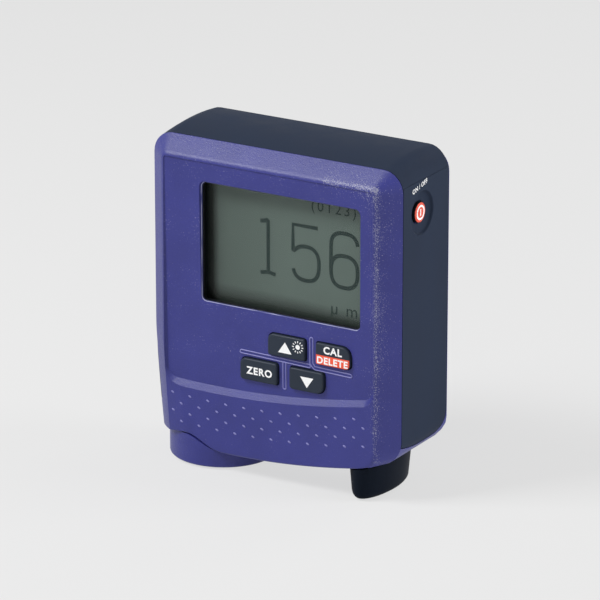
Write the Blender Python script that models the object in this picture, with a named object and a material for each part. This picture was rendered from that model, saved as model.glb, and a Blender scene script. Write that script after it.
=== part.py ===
"""A handheld coating thickness gauge with a built-in probe.

It stands on its probe cylinder and on a support foot, both at z = 0. X runs to
the user's right, Y to the back and Z up. The probe's axis is at y = 0.
Sizes below are in millimetres; the meshes are made in metres.
"""

import math

import bmesh
import bpy
from mathutils import Vector

MM = 0.001

# Fits
GAP = 0.3  # between pieces that touch
SEAM = 0.3  # between the front and the rear shell
KEY_PLAY = 0.3  # round each key and the power button

# Case
WIDTH = 82.0
HALF = WIDTH / 2
BACK = 16.0
FRONT = -BACK  # the front face
RIM_TOP = 98.0  # the top of the front rim
CROWN = 1.5  # how far the band rises above the rim
CROWN_Y = 5.0  # where the band is highest
RIM_Y = FRONT + 5.2  # the back edge of the front chamfer
BEVEL_SIDE = 5.8  # the front chamfer, across
BEVEL_TOP = 4.7  # and down
CREASE = 0.15  # share of the chamfer that the rounded crease takes
CORNER = 6.4  # outer top corners
FACE_CORNER = 1.7  # top corners of the front face
LOW_CORNER = 7.6  # lower right corner
LEFT_CORNER = 1.6  # lower left corner
BACK_ROUND = 0.7
BACK_LOW_ROUND = 7.0  # the lower back edge
PARTING_Y = 4.5  # where the two shells meet
WALL = 1.8
FLOOR_THICK = 3.4  # the case's floor over its lower edge
CAVITY_HALF = HALF - 5.6
CAVITY_TOP = RIM_TOP - 5.7
CAVITY_LEFT_FLOOR = 31.4

# The lower edge of the case: a wide smile with an S step over the cylinder
SMILE_LOW = 5.4
SMILE_X = -14.0
SMILE_RADIUS = 230.0
HUMP_TOP = 9.5
HUMP_X = 12.0 - HALF
HUMP_RADIUS = 45.0
STEP_X = 13.0 - HALF
STEP_WIDTH = 12.0

# Side band
BAND_THICK = 2.0
BAND_BACK = BACK - 1.0
BAND_END = 14.2  # its lower end on each side
BAND_END_Y = 4.0
BAND_END_RADIUS = 48.0
BAND_END_CORNER = 6.5
PANEL_TOP = RIM_TOP - 4.8  # where its flat sides end in a step
PANEL_LIP = 0.1

# Sunken face: deepest at the ridge over the grip area
SUNK_RIDGE = 1.2
SUNK_TOP = 0.3
SUNK_HALF = HALF - 7.0
SUNK_TOP_Z = RIM_TOP - 6.0
RIDGE_Z = 25.4
RIDGE_X = -20.0
RIDGE_RADIUS = 260.0
RIDGE_DROP = 1.9
SUNK_CORNER = 3.6

# Display
WINDOW = (18.6 - HALF, HALF - 11.5, RIM_TOP - 47.0, RIM_TOP - 11.8)  # x from, x to, z from, z to
WINDOW_CORNER = 1.2
WINDOW_LEDGE = 0.7
LENS_THICK = 1.0
LENS_MARGIN = 1.3
CELL_THICK = 2.0
HOLDER_THICK = 2.0

# Keys: left, right, lower edge; radii run anticlockwise from the lower left
KEY_HEIGHT = 6.5
UPPER_KEYS_Z = 38.7
LOWER_KEYS_Z = 29.7
KEYS_RIGHT = HALF - 14.0  # the right side of the rightmost key
KEYS = (
    ("key_up", KEYS_RIGHT - 27.1, KEYS_RIGHT - 14.8, UPPER_KEYS_Z, (0.7, 0.7, 0.7, 1.8)),
    ("key_zero", KEYS_RIGHT - 36.4, KEYS_RIGHT - 24.1, LOWER_KEYS_Z, (0.9, 0.7, 0.7, 1.8)),
    ("key_cal", KEYS_RIGHT - 11.3, KEYS_RIGHT, UPPER_KEYS_Z, (0.7, 1.4, 2.6, 0.7)),
    ("key_down", KEYS_RIGHT - 20.0, KEYS_RIGHT - 8.7, LOWER_KEYS_Z, (0.9, 2.4, 0.9, 0.7)),
)
KEY_FRONT = FRONT
KEY_EDGE = 0.5
KEY_FLANGE = 0.8
KEY_FLANGE_OUT = 0.9
KEY_TRAVEL = 0.8
STOP_PLAY = 0.1  # left behind a key or the button that is pressed right in

# Board and what is on it
MAT_THICK = 0.8
BOARD_THICK = 1.6
BOARD_HALF = HALF - 7.0
BOARD_TOP = RIM_TOP - 7.0
BOARD_LOW = 14.6
BOARD_LEFT_LOW = 31.9  # its lower edge above the probe
MAT_MARGIN = 0.6
CHIP = 12.0  # its side
CHIP_THICK = 1.2
CHIP_Z = RIM_TOP - 34.0
BUZZER_RADIUS = 4.5
BUZZER_HEIGHT = 3.2
BUZZER_AT = (21.0 - HALF, RIM_TOP - 26.0)

# Power button on the right side
BUTTON_Z = RIM_TOP - 14.5
BUTTON_RADIUS = 3.0
BUTTON_OUT = HALF - 0.5  # x of its face
BUTTON_SEAT = HALF - 4.1  # x of the shell's face that its flange lies behind
BUTTON_FLANGE = 1.0
BUTTON_FLANGE_OUT = 1.0
BUTTON_TRAVEL = 0.6
DISH_RADIUS = 6.4
DISH_DEPTH = 1.4
SWITCH_SIZE = 6.0
SWITCH_LENGTH = 4.5
SWITCH_NUB = 1.3

# Probe
CYLINDER_RADIUS = BACK
PROBE_X = CYLINDER_RADIUS + 0.4 - HALF
CYLINDER_EDGE = 0.8
SPIGOT_RADIUS = 13.2
SPIGOT_TOP = 29.2
PROBE_WALL = 1.1  # between its room and the board's
BORE_RADIUS = 12.0
PROBE_BASE_THICK = 2.4
PROBE_HOLE = 3.3
PLUNGER_RADIUS = 2.8
PLUNGER_TIP = 1.6
PLUNGER_HEAD = 3.8
PLUNGER_HEAD_THICK = 1.6
PLUNGER_TRAVEL = 1.5
SLEEVE_WALL = 1.1
SLEEVE_TOP = 18.8
COIL_RADIUS = 9.0
SPRING_WIRE = 0.35
SPRING_RADIUS = 2.7
SPRING_TURNS = 4
PROBE_CAP_THICK = 1.6
CONNECTOR_WIDTH = 6.0
CONNECTOR_DEPTH = 2.5
CONNECTOR_TOP = 37.0

# Support foot
FOOT_X = HALF - 11.6
FOOT_Y = -2.4
FOOT_HALF = (5.6, 12.7)
FOOT_TAPER = 1.0
FOOT_EDGE = 1.8

# Cells, their well and the cover
CELL_RADIUS = 5.15
CELL_LENGTH = 44.5
CELL_PITCH = 10.9
CELL_LOW = RIM_TOP - CELL_LENGTH - 13.4
CELL_Y = BACK - 7.3
NUB_RADIUS = 1.9
NUB_HEIGHT = 1.0
WELL_HALF = 22.0
WELL_FLOOR = BACK - 13.1
WELL_WALL = 3.2
WELL_FLOOR_THICK = 1.2
CONTACT_THICK = 0.5
CONTACT_REACH = 1.3
COVER_HALF = 23.6
COVER_THICK = 1.6
COVER_LAP = 1.6  # over the ledge, above and below the well
COVER_GRIP_RADIUS = 3.2
COVER_GRIP_DEPTH = 0.7

# Case screws, as (x, z), and their bosses
SCREW_X = HALF - 8.0
SCREW_TOP = RIM_TOP - 7.0
SCREWS = ((-SCREW_X, SCREW_TOP), (SCREW_X, SCREW_TOP), (-SCREW_X, 35.0), (SCREW_X, 20.5))
BOSS_RADIUS = 2.8
REAR_BOSS_RADIUS = 3.4
SCREW_RADIUS = 1.2
SCREW_HEAD_RADIUS = 2.3
SCREW_HEAD = 1.5
SCREW_SEAT = BACK - 8.8
SCREW_END = -6.0
SLOT = 0.6
FOOT_SCREW_END = 4.2
FOOT_SCREW_Y = -1.0

# What follows from the sizes
ABOVE = RIM_TOP + CROWN + 4  # clear of the whole case
PROBE_SIDE = PROBE_X + SPIGOT_RADIUS + GAP + PROBE_WALL
KEY_ROOM_LEFT = min(key[1] for key in KEYS) - KEY_FLANGE_OUT - 1.0
KEY_ROOM_LOW = LOWER_KEYS_Z - KEY_FLANGE_OUT - 0.6
INNER_FRONT = FRONT + SUNK_RIDGE + WALL
WELL_TOP = CELL_LOW + CELL_LENGTH + CONTACT_REACH + CONTACT_THICK + 2 * GAP
WELL_LOW = CELL_LOW - CONTACT_REACH - CONTACT_THICK - 2 * GAP
INNER_BACK = BACK - WALL
LENS_Y = INNER_FRONT + GAP
CELL_FRONT = LENS_Y + LENS_THICK + GAP
HOLDER_FRONT = CELL_FRONT + CELL_THICK + GAP
BOARD_FRONT = HOLDER_FRONT + HOLDER_THICK + GAP
BOARD_REAR = BOARD_FRONT + BOARD_THICK


def clamp(value, low, high):
    return min(max(value, low), high)


def low_edge(x):
    """Height of the case's lower edge at x."""
    smile = SMILE_LOW + (x - SMILE_X) ** 2 / (2 * SMILE_RADIUS)
    hump = HUMP_TOP - (x - HUMP_X) ** 2 / (2 * HUMP_RADIUS)
    t = clamp((x - STEP_X) / STEP_WIDTH, 0, 1)
    share = t * t * (3 - 2 * t)
    return hump * (1 - share) + smile * share


def ridge(x):
    """Height of the sunken face's lower edge at x."""
    return RIDGE_Z + (x - RIDGE_X) ** 2 / (2 * RIDGE_RADIUS)


def face_y(z):
    """Depth of the sunken face at height z."""
    share = (SUNK_TOP_Z - z) / (SUNK_TOP_Z - RIDGE_Z)
    return FRONT + SUNK_TOP + (SUNK_RIDGE - SUNK_TOP) * share


def band_end(gap):
    """The band's lower end from the side, as (y, z), moved out by a gap."""
    corner_y = BAND_BACK - BAND_END_CORNER
    steps = 12
    points = []
    for i in range(steps + 1):
        y = RIM_Y - 1 + (corner_y - RIM_Y + 1) * i / steps
        rise = (y - BAND_END_Y) ** 2 / (2 * BAND_END_RADIUS)
        points.append((y, BAND_END + rise - gap))
    centre = (corner_y, points[-1][1] + gap + BAND_END_CORNER)
    return points + arc(centre, BAND_END_CORNER + gap, 270, 360, 8)[1:]


def arc(centre, radius, start, end, steps):
    """Points on an arc, in degrees, both ends included."""
    turns = [math.radians(start + (end - start) * i / steps) for i in range(steps + 1)]
    return [
        (centre[0] + radius * math.cos(t), centre[1] + radius * math.sin(t))
        for t in turns
    ]


def rounded(x0, x1, z0, z1, radii, steps=4):
    """A rectangle with its own radius at each corner, from the lower left."""
    a, b, c, d = radii
    return (
        arc((x0 + a, z0 + a), a, 180, 270, steps)
        + arc((x1 - b, z0 + b), b, 270, 360, steps)
        + arc((x1 - c, z1 - c), c, 0, 90, steps)
        + arc((x0 + d, z1 - d), d, 90, 180, steps)
    )


# Meshes


def place(bm, name):
    bmesh.ops.recalc_face_normals(bm, faces=bm.faces)
    mesh = bpy.data.meshes.new(name)
    bm.to_mesh(mesh)
    bm.free()
    obj = bpy.data.objects.new(name, mesh)
    bpy.context.scene.collection.objects.link(obj)
    return obj


def loft(name, rings):
    """A closed solid through rings of (x, y, z) points, all of one length."""
    bm = bmesh.new()
    rows = [[bm.verts.new(Vector(point) * MM) for point in ring] for ring in rings]
    for lower, upper in zip(rows, rows[1:]):
        for i in range(len(lower)):
            j = (i + 1) % len(lower)
            bm.faces.new((lower[i], lower[j], upper[j], upper[i]))
    bm.faces.new(rows[0])
    bm.faces.new(rows[-1])
    return place(bm, name)


def along(axis, points, at):
    """Points of a flat outline put at a place along one axis."""
    if axis == "x":
        return [(at, a, b) for a, b in points]
    if axis == "y":
        return [(a, at, b) for a, b in points]
    return [(a, b, at) for a, b in points]


def prism(name, axis, points, low, high):
    return loft(name, [along(axis, points, low), along(axis, points, high)])


def box(name, x, y, z):
    corners = [(x[0], z[0]), (x[1], z[0]), (x[1], z[1]), (x[0], z[1])]
    return prism(name, "y", corners, y[0], y[1])


def turned(name, profile, centre, axis="z", steps=32):
    """A turned solid from (radius, height) points; a closed ring if none is on the axis."""
    bm = bmesh.new()
    rows = []
    for radius, height in profile:
        count = steps if radius > 0 else 1
        row = []
        for i in range(count):
            a = radius * math.cos(math.tau * i / steps)
            b = radius * math.sin(math.tau * i / steps)
            spot = {"x": (height, a, b), "y": (a, height, b), "z": (a, b, height)}
            row.append(bm.verts.new((Vector(spot[axis]) + Vector(centre)) * MM))
        rows.append(row)
    pairs = list(zip(rows, rows[1:]))
    if len(rows[0]) > 1:
        pairs.append((rows[-1], rows[0]))
    for lower, upper in pairs:
        for i in range(steps):
            j = (i + 1) % steps
            spots = [lower[i % len(lower)], lower[j % len(lower)]]
            spots += [upper[j % len(upper)], upper[i % len(upper)]]
            bm.faces.new(list(dict.fromkeys(spots)))
    return place(bm, name)


def rod(name, radius, centre, low, high, axis="z", steps=32):
    return turned(
        name, [(0, low), (radius, low), (radius, high), (0, high)], centre, axis, steps
    )


def combine(obj, other, operation):
    """Applies a Boolean and drops the other object."""
    modifier = obj.modifiers.new("shape", "BOOLEAN")
    modifier.operation = operation
    modifier.solver = "EXACT"
    modifier.object = other
    bpy.context.view_layer.update()
    graph = bpy.context.evaluated_depsgraph_get()
    mesh = bpy.data.meshes.new_from_object(obj.evaluated_get(graph))
    obj.modifiers.clear()
    old = obj.data
    obj.data = mesh
    bpy.data.meshes.remove(old)
    bpy.data.objects.remove(other)


def cut(obj, *others):
    for other in others:
        combine(obj, other, "DIFFERENCE")


def add(obj, *others):
    for other in others:
        combine(obj, other, "UNION")


def keep(obj, other):
    combine(obj, other, "INTERSECT")


def copied(obj, name):
    twin = bpy.data.objects.new(name, obj.data.copy())
    bpy.context.scene.collection.objects.link(twin)
    return twin


def soften(obj, width, segments=2, least=50):
    """Rounds the edges that are sharper than the least angle."""
    bm = bmesh.new()
    bm.from_mesh(obj.data)
    edges = [
        edge
        for edge in bm.edges
        if len(edge.link_faces) == 2
        and edge.calc_face_angle(0) > math.radians(least)
    ]
    bmesh.ops.bevel(
        bm,
        geom=edges,
        offset=width * MM,
        segments=segments,
        profile=0.5,
        affect="EDGES",
        clamp_overlap=True,
        material=-1,
    )
    bm.to_mesh(obj.data)
    bm.free()


def finish(obj, colour, roughness, metallic=0.0, origin=None, smooth=35):
    """Material, shading and the origin, which is on the joint's axis if it moves."""
    material = bpy.data.materials.new(obj.name)
    material.use_nodes = True
    shader = material.node_tree.nodes["Principled BSDF"]
    shader.inputs["Base Color"].default_value = (*colour, 1)
    shader.inputs["Roughness"].default_value = roughness
    shader.inputs["Metallic"].default_value = metallic
    obj.data.materials.clear()
    obj.data.materials.append(material)
    obj.data.shade_smooth()
    obj.data.set_sharp_from_angle(angle=math.radians(smooth))
    if origin:
        shift = Vector(origin) * MM
        for vertex in obj.data.vertices:
            vertex.co -= shift
        obj.location = shift
    return obj


# The case's outer form


def outline(side=0.0, top=0.0, radius=CORNER, low=0.0, flare=0.45):
    """The case seen from the front, moved in by side, top and low."""
    right_low = low_edge(HALF - LOW_CORNER)
    left_low = low_edge(LEFT_CORNER - HALF)
    start = max(left_low + LEFT_CORNER, right_low + LOW_CORNER)
    sides = [start + up for up in (1.2, 4.7, 10.2, 18.2)]
    left = [(-HALF, z) for z in reversed(sides)]
    left += arc(
        (LEFT_CORNER - HALF, left_low + LEFT_CORNER), LEFT_CORNER, 180, 270, 3
    )
    count = 34
    first, last = LEFT_CORNER - HALF, HALF - LOW_CORNER
    middle = [first + (last - first) * i / count for i in range(1, count)]
    bottom = [(x, low_edge(x)) for x in middle]
    right = arc((HALF - LOW_CORNER, right_low + LOW_CORNER), LOW_CORNER, 270, 360, 6)
    right += [(HALF, z) for z in sides]
    points = []
    for x, z in left + bottom + right:
        reach = clamp((abs(x) - HALF + 11) / 8, 0, 1)
        share = 1 - flare * max(0, 1 - max(z - 10, 0) / 9) ** 2
        inward = side * share * reach
        lifted = low * clamp((18 - z) / 6, 0, 1)
        points.append((x - math.copysign(inward, x), z + lifted))
    centre = (HALF - side - radius, RIM_TOP - top - radius)
    points += arc(centre, radius, 0, 90, 8)
    points += arc((-centre[0], centre[1]), radius, 90, 180, 8)
    return points


def front_ring(share, y, low=0.0):
    """One section of the front chamfer: share is 0 at the rim and 1 at the face."""
    radius = CORNER + (FACE_CORNER - CORNER) * share
    points = outline(BEVEL_SIDE * share, BEVEL_TOP * share, radius, low)
    return along("y", points, y)


def case_form():
    """The whole case without the band's recess, solid."""
    depth = RIM_Y - FRONT
    rings = []
    for i in range(4):
        t = i / 3
        share = (1 + CREASE) * (1 - t) ** 2 + 2 * t * (1 - t) + (1 - CREASE) * t**2
        y = FRONT + CREASE * depth * t**2
        rings.append(front_ring(share, y, low=(1 - t) ** 2))
    rings.append(front_ring(0.02, RIM_Y - 0.2))
    rings.append(front_ring(0.0, RIM_Y))
    rings.append(front_ring(0.0, BACK - BACK_ROUND))
    for turn in (45, 90):
        inward = BACK_ROUND * (1 - math.cos(math.radians(turn)))
        y = BACK - BACK_ROUND + BACK_ROUND * math.sin(math.radians(turn))
        points = outline(inward, inward, CORNER - inward, inward, flare=0)
        rings.append(along("y", points, y))
    case = loft("case", rings)
    cut(case, back_low_round(1.0))
    keep(case, left_blend())
    return case


def back_low_round(outset):
    """What the rounded lower back edge takes away, along the whole width."""
    radius = BACK_LOW_ROUND
    rings = []
    for i in range(25):
        x = -HALF - 1 + (WIDTH + 2) * i / 24
        low = low_edge(clamp(x, -HALF, HALF))
        points = arc((BACK - radius, low + radius), radius, 270, 360, 6)
        points += [(BACK + outset, low + radius), (BACK + outset, low - 12)]
        points += [(BACK - radius, low - 12)]
        rings.append(along("x", points, x))
    return loft("back low round", rings)


def left_blend():
    """Everything but the lower left front edge, which turns into the cylinder."""
    margin = 0.2
    side = HALF + PROBE_X + margin
    front = -FRONT + margin
    run = Vector((BEVEL_SIDE, RIM_Y - FRONT)).normalized()
    corner = Vector((HALF + PROBE_X, -RIM_Y))
    reach = corner.x * run.y + corner.y * run.x + margin
    knees = [
        math.degrees(math.atan2(-RIM_Y, side)),
        math.degrees(math.atan2(front, HALF + PROBE_X - BEVEL_SIDE)),
    ]
    turns = sorted([90 * i / 15 for i in range(16)] + knees)
    heights = [-2, 4, 8, 12, 16, 20, 25, 30, 37, 44, RIM_TOP + CROWN + 3]
    rings = []
    for z in heights:
        blend = 0.8 * clamp(1 - z / 44, 0, 1) ** 1.4
        points = []
        for turn in turns:
            c = math.cos(math.radians(turn))
            s = math.sin(math.radians(turn))
            square = min(
                side / c if c > 1e-6 else 1e9,
                front / s if s > 1e-6 else 1e9,
                reach / (c * run.y + s * run.x),
            )
            share = blend * clamp(turn / 25, 0, 1)
            radius = square + share * (CYLINDER_RADIUS + margin - square)
            points.append((PROBE_X - radius * c, -radius * s))
        points += [(HALF + 4, FRONT - margin), (HALF + 4, BACK + 4)]
        points += [(-HALF - margin, BACK + 4)]
        rings.append(along("z", points, z))
    return loft("left blend", rings)


def inner_form(inset, front, back):
    """The case's form without its chamfer, moved in by inset."""
    points = outline(inset, inset, CORNER - inset, 0, flare=0)
    return prism("inner form", "y", points, front, back)


def band_space(inset, front, back, gap):
    """The room that the band takes, with a gap round it."""
    room = box(
        "band space", (-HALF - 4, HALF + 4), (front, back), (0, ABOVE)
    )
    cut(room, inner_form(inset, front - 1, back + 1))
    points = band_end(gap)
    points += [(BAND_BACK + 2, points[-1][1]), (BAND_BACK + 2, -3), (RIM_Y - 1, -3)]
    cut(room, prism("band end", "x", points, -HALF - 5, HALF + 5))
    return room


def band_outline():
    """The band seen from the front: its flat sides end in a step at each top corner."""
    middle_x, middle_z = HALF - CORNER, RIM_TOP - CORNER
    across = middle_x + math.sqrt(CORNER**2 - (PANEL_TOP - middle_z) ** 2)
    step = [(HALF, PANEL_TOP - PANEL_LIP), (across, PANEL_TOP)]
    points = [(x, z) for x, z in outline(flare=0) if z < middle_z]
    points += step
    for x, z in outline(flare=0):
        if z > PANEL_TOP:
            points.append((x, z))
    return points + [(-x, z) for x, z in reversed(step)]


def make_band():
    rings = []
    steps = 8
    front, back = RIM_Y + GAP, BAND_BACK
    for i in range(steps + 1):
        y = front + (back - front) * i / steps
        sag = (y - CROWN_Y) ** 2 / (CROWN_Y - front) ** 2
        rise = CROWN * (1 - sag)
        points = []
        for x, z in band_outline():
            lifted = z + rise * clamp((z - PANEL_TOP) / (RIM_TOP - PANEL_TOP), 0, 1)
            points.append((x, lifted))
        rings.append(along("y", points, y))
    band = loft("side_band", rings)
    keep(band, band_space(BAND_THICK, front - 1, back + 1, 0))
    keep(band, left_blend())
    cut(band, dish(), button_hole())
    return band


def dish():
    """The hollow round the power button, widest at the surface."""
    floor = BUTTON_RADIUS + 1.0
    profile = [(0, -DISH_DEPTH), (floor, -DISH_DEPTH)]
    for i in range(1, 5):
        t = i / 4
        radius = floor + (DISH_RADIUS - floor) * math.sin(t * math.pi / 2)
        profile.append((radius, -DISH_DEPTH * math.cos(t * math.pi / 2)))
    profile += [(DISH_RADIUS, 2), (0, 2)]
    return turned("dish", profile, (HALF, 0, BUTTON_Z), "x", 40)


def button_hole():
    radius = BUTTON_RADIUS + KEY_PLAY
    return rod("button hole", radius, (0, 0, BUTTON_Z), CAVITY_HALF - 3, HALF + 3, "x")


def sunken_face():
    """What the sunken face takes out of the front."""
    inner = []
    right, left = SUNK_HALF, -SUNK_HALF - 0.6
    count = 16
    first, last = left + SUNK_CORNER, right - SUNK_CORNER
    for i in range(count + 1):
        x = first + (last - first) * i / count
        inner.append((x, ridge(x), 0, -1))
    for i in range(1, 6):
        a = math.radians(90 * i / 5)
        x = last + SUNK_CORNER * math.sin(a)
        z = ridge(last) + SUNK_CORNER * (1 - math.cos(a))
        inner.append((x, z, math.sin(a), -math.cos(a)))
    for z in (60.0, SUNK_TOP_Z):
        inner.append((right, z, 1, 0))
    inner.append((right - 0.4, SUNK_TOP_Z + 0.4, 0.7, 0.7))
    inner.append((left + 0.4, SUNK_TOP_Z + 0.4, -0.7, 0.7))
    for z in (SUNK_TOP_Z, 60.0):
        inner.append((left, z, -1, 0))
    for i in range(1, 6):
        a = math.radians(90 - 90 * i / 6)
        x = first - SUNK_CORNER * math.sin(a)
        z = ridge(first) + SUNK_CORNER * (1 - math.cos(a))
        inner.append((x, z, -math.sin(a), -math.cos(a)))
    slope = RIDGE_DROP / SUNK_RIDGE
    floor, mouth = [], []
    for x, z, out_x, out_z in inner:
        depth = face_y(z)
        rise = depth - FRONT + 1.0
        lean = slope if out_z < 0 else 0.8
        floor.append((x, depth, z))
        mouth.append((x + out_x * 0.8 * rise, FRONT - 1.0, z + out_z * lean * rise))
    return loft("sunken face", [floor, mouth])


def window_cut():
    x0, x1, z0, z1 = WINDOW
    ledge = WINDOW_LEDGE
    rings = []
    for y, out in ((FRONT - 1, ledge + 1.2), (FRONT + 0.2, ledge), (FRONT + 1.6, 0)):
        radii = (WINDOW_CORNER + out,) * 4
        points = rounded(x0 - out, x1 + out, z0 - out, z1 + out, radii)
        rings.append(along("y", points, y))
    points = rounded(x0, x1, z0, z1, (WINDOW_CORNER,) * 4)
    rings.append(along("y", points, INNER_FRONT + 1))
    return loft("window cut", rings)


def key_outline(key, out):
    _, x0, x1, z0, radii = key
    radii = [radius + out for radius in radii]
    return rounded(x0 - out, x1 + out, z0 - out, z0 + KEY_HEIGHT + out, radii)


def screw_at(name, centre, seat, end, axis, way):
    """A pan-head screw with a slot; way points from its tip to its head."""
    radius, head = SCREW_RADIUS, SCREW_HEAD_RADIUS
    profile = [
        (0, end),
        (radius * 0.5, end),
        (radius, end + way * 0.8),
        (radius, seat),
        (head, seat),
        (head, seat + way * SCREW_HEAD * 0.6),
        (head * 0.7, seat + way * SCREW_HEAD),
        (0, seat + way * SCREW_HEAD),
    ]
    screw = turned(name, profile, centre, axis, 20)
    top = seat + way * SCREW_HEAD
    deep = top - way * SLOT
    low, high = min(deep, top + way), max(deep, top + way)
    half, span = 0.3, head + 1
    spot = Vector(centre)
    if axis == "y":
        slot = box(
            "slot",
            (spot.x - half, spot.x + half),
            (low, high),
            (spot.z - span, spot.z + span),
        )
    else:
        slot = box(
            "slot",
            (spot.x - half, spot.x + half),
            (spot.y - span, spot.y + span),
            (low, high),
        )
    cut(screw, slot)
    return screw


# Shells


def make_front_shell(case):
    shell = copied(case, "front_shell")
    cut(
        shell,
        box("rear", (-WIDTH, WIDTH), (PARTING_Y - SEAM / 2, BACK + 9), (-9, ABOVE)),
        band_space(BAND_THICK + GAP, RIM_Y, BAND_BACK + GAP, GAP),
    )
    room = [
        (PROBE_SIDE, low_edge(0) + FLOOR_THICK),
        (10, low_edge(10) + FLOOR_THICK),
        (CAVITY_HALF, low_edge(HALF - LOW_CORNER) + FLOOR_THICK),
        (CAVITY_HALF, CAVITY_TOP),
        (-CAVITY_HALF, CAVITY_TOP),
        (-CAVITY_HALF, CAVITY_LEFT_FLOOR),
        (KEY_ROOM_LEFT, CAVITY_LEFT_FLOOR),
        (KEY_ROOM_LEFT, KEY_ROOM_LOW),
        (PROBE_SIDE, KEY_ROOM_LOW),
    ]
    cut(shell, prism("room", "y", room, INNER_FRONT, PARTING_Y + 1))
    clear = SPIGOT_RADIUS + GAP
    cut(
        shell,
        rod("probe room", clear, (PROBE_X, 0, 0), 2, CAVITY_LEFT_FLOOR + 1, steps=48),
        sunken_face(),
        window_cut(),
    )
    for key in KEYS:
        hole = key_outline(key, KEY_PLAY)
        cut(shell, prism("key hole", "y", hole, FRONT - 2, INNER_FRONT + 1))
    pocket = BUTTON_RADIUS + BUTTON_FLANGE_OUT + KEY_PLAY
    cut(
        shell,
        button_hole(),
        rod("pocket", pocket, (0, 0, BUTTON_Z), CAVITY_HALF - 3, BUTTON_SEAT, "x"),
    )
    for x, z in SCREWS:
        post = (x, 0, z)
        add(
            shell,
            rod("boss", BOSS_RADIUS, post, INNER_FRONT - 0.4, PARTING_Y - 1, "y", 20),
        )
        bore = SCREW_RADIUS + GAP
        cut(shell, rod("bore", bore, post, SCREW_END - 1, PARTING_Y, "y", 16))
    bore = SCREW_RADIUS + GAP
    cut(shell, rod("foot bore", bore, (FOOT_X, FOOT_SCREW_Y, 0), 2, 20, steps=16))
    return shell


def make_rear_shell(case):
    shell = copied(case, "rear_shell")
    start = PARTING_Y + SEAM / 2
    cut(shell, box("front", (-WIDTH, WIDTH), (FRONT - 9, start), (-9, ABOVE)))
    floor = low_edge(HALF - LOW_CORNER) + FLOOR_THICK
    side = [
        (start - 1, floor),
        (BACK - BACK_LOW_ROUND, floor),
        (INNER_BACK, floor + 5.6),
        (INNER_BACK, CAVITY_TOP),
        (start - 1, CAVITY_TOP),
    ]
    right_room = prism("right room", "x", side, PROBE_SIDE, CAVITY_HALF)
    left_room = box(
        "left room",
        (-CAVITY_HALF, PROBE_SIDE + 2),
        (start - 1, INNER_BACK),
        (CAVITY_LEFT_FLOOR, CAVITY_TOP),
    )
    cut(shell, right_room, left_room)
    wall = WELL_HALF + WELL_WALL
    add(
        shell,
        box(
            "well",
            (-wall, wall),
            (WELL_FLOOR - WELL_FLOOR_THICK, INNER_BACK + 0.4),
            (WELL_LOW - WELL_WALL, WELL_TOP + WELL_WALL),
        ),
    )
    for x, z in SCREWS:
        post = (x, 0, z)
        add(shell, rod("boss", REAR_BOSS_RADIUS, post, start, BACK - 1.2, "y", 24))
    add(shell, make_cylinder())
    add(
        shell,
        rod("spigot", SPIGOT_RADIUS, (PROBE_X, 0, 0), 3, SPIGOT_TOP, steps=48),
    )
    cut(
        shell,
        band_space(BAND_THICK + GAP, start - 1, BAND_BACK + GAP, GAP),
        rod("bore", BORE_RADIUS, (PROBE_X, 0, 0), -2, SPIGOT_TOP + 6, steps=48),
        box(
            "cells",
            (-WELL_HALF, WELL_HALF),
            (WELL_FLOOR, BACK + 2),
            (WELL_LOW, WELL_TOP),
        ),
        prism("cover seat", "y", cover_outline(GAP), BACK - COVER_THICK - GAP, 20),
    )
    for x, z in SCREWS:
        post = (x, 0, z)
        bore, well = SCREW_RADIUS + GAP, SCREW_HEAD_RADIUS + GAP
        cut(
            shell,
            rod("bore", bore, post, start - 2, BACK + 2, "y", 16),
            rod("head well", well, post, SCREW_SEAT - GAP, BACK + 2, "y", 20),
        )
    return shell


def make_cylinder():
    """The probe cylinder: whole below the seam, only its back half above it."""
    edge = CYLINDER_EDGE
    profile = [(0, 0), (CYLINDER_RADIUS - edge, 0)]
    for i in range(1, 4):
        t = math.radians(30 * i)
        profile.append(
            (
                CYLINDER_RADIUS - edge + edge * math.sin(t),
                edge - edge * math.cos(t),
            )
        )
    profile += [(CYLINDER_RADIUS, 22), (0, 22)]
    cylinder = turned("cylinder", profile, (PROBE_X, 0, 0), steps=72)
    steps = 40
    first, last = -HALF - 3, -4.0
    line = [first + (last - first) * i / steps for i in range(steps + 1)]
    points = [(x, low_edge(x) - SEAM) for x in line] + [(last, SPIGOT_TOP), (first, SPIGOT_TOP)]
    cut(cylinder, prism("lap", "y", points, -40, PARTING_Y + SEAM / 2))
    return cylinder


def cover_outline(out):
    """The battery cover from behind; its lower edge stays square."""
    low = WELL_LOW - COVER_LAP - out
    high = WELL_TOP + COVER_LAP + out
    half = COVER_HALF + out
    return rounded(-half, half, low, high, (0.05, 0.05, 2 + out, 2 + out))


def make_cover():
    """A lid whose lower edge is round about its hinge line."""
    low = WELL_LOW - COVER_LAP
    radius = COVER_THICK / 2
    inner = BACK - COVER_THICK
    lid = prism("battery_cover", "y", cover_outline(0), inner, BACK)
    edge = arc((BACK - radius, low + radius), radius, 180, 360, 8)
    edge += [(BACK + 1, low + radius), (BACK + 1, low - 1)]
    edge += [(inner - 1, low - 1), (inner - 1, low + radius)]
    cut(lid, prism("edge", "x", edge, -COVER_HALF - 1, COVER_HALF + 1))
    hold = (0, BACK + COVER_GRIP_RADIUS - COVER_GRIP_DEPTH, WELL_TOP - 5)
    cut(lid, rod("grip", COVER_GRIP_RADIUS, hold, -9, 9, "x"))
    return lid


# Display, keys and board


def make_lens():
    x0, x1, z0, z1 = WINDOW
    out = LENS_MARGIN
    points = rounded(x0 - out, x1 + out, z0 - out, z1 + out, (0.8,) * 4)
    return prism("lcd_window", "y", points, LENS_Y, LENS_Y + LENS_THICK)


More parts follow.
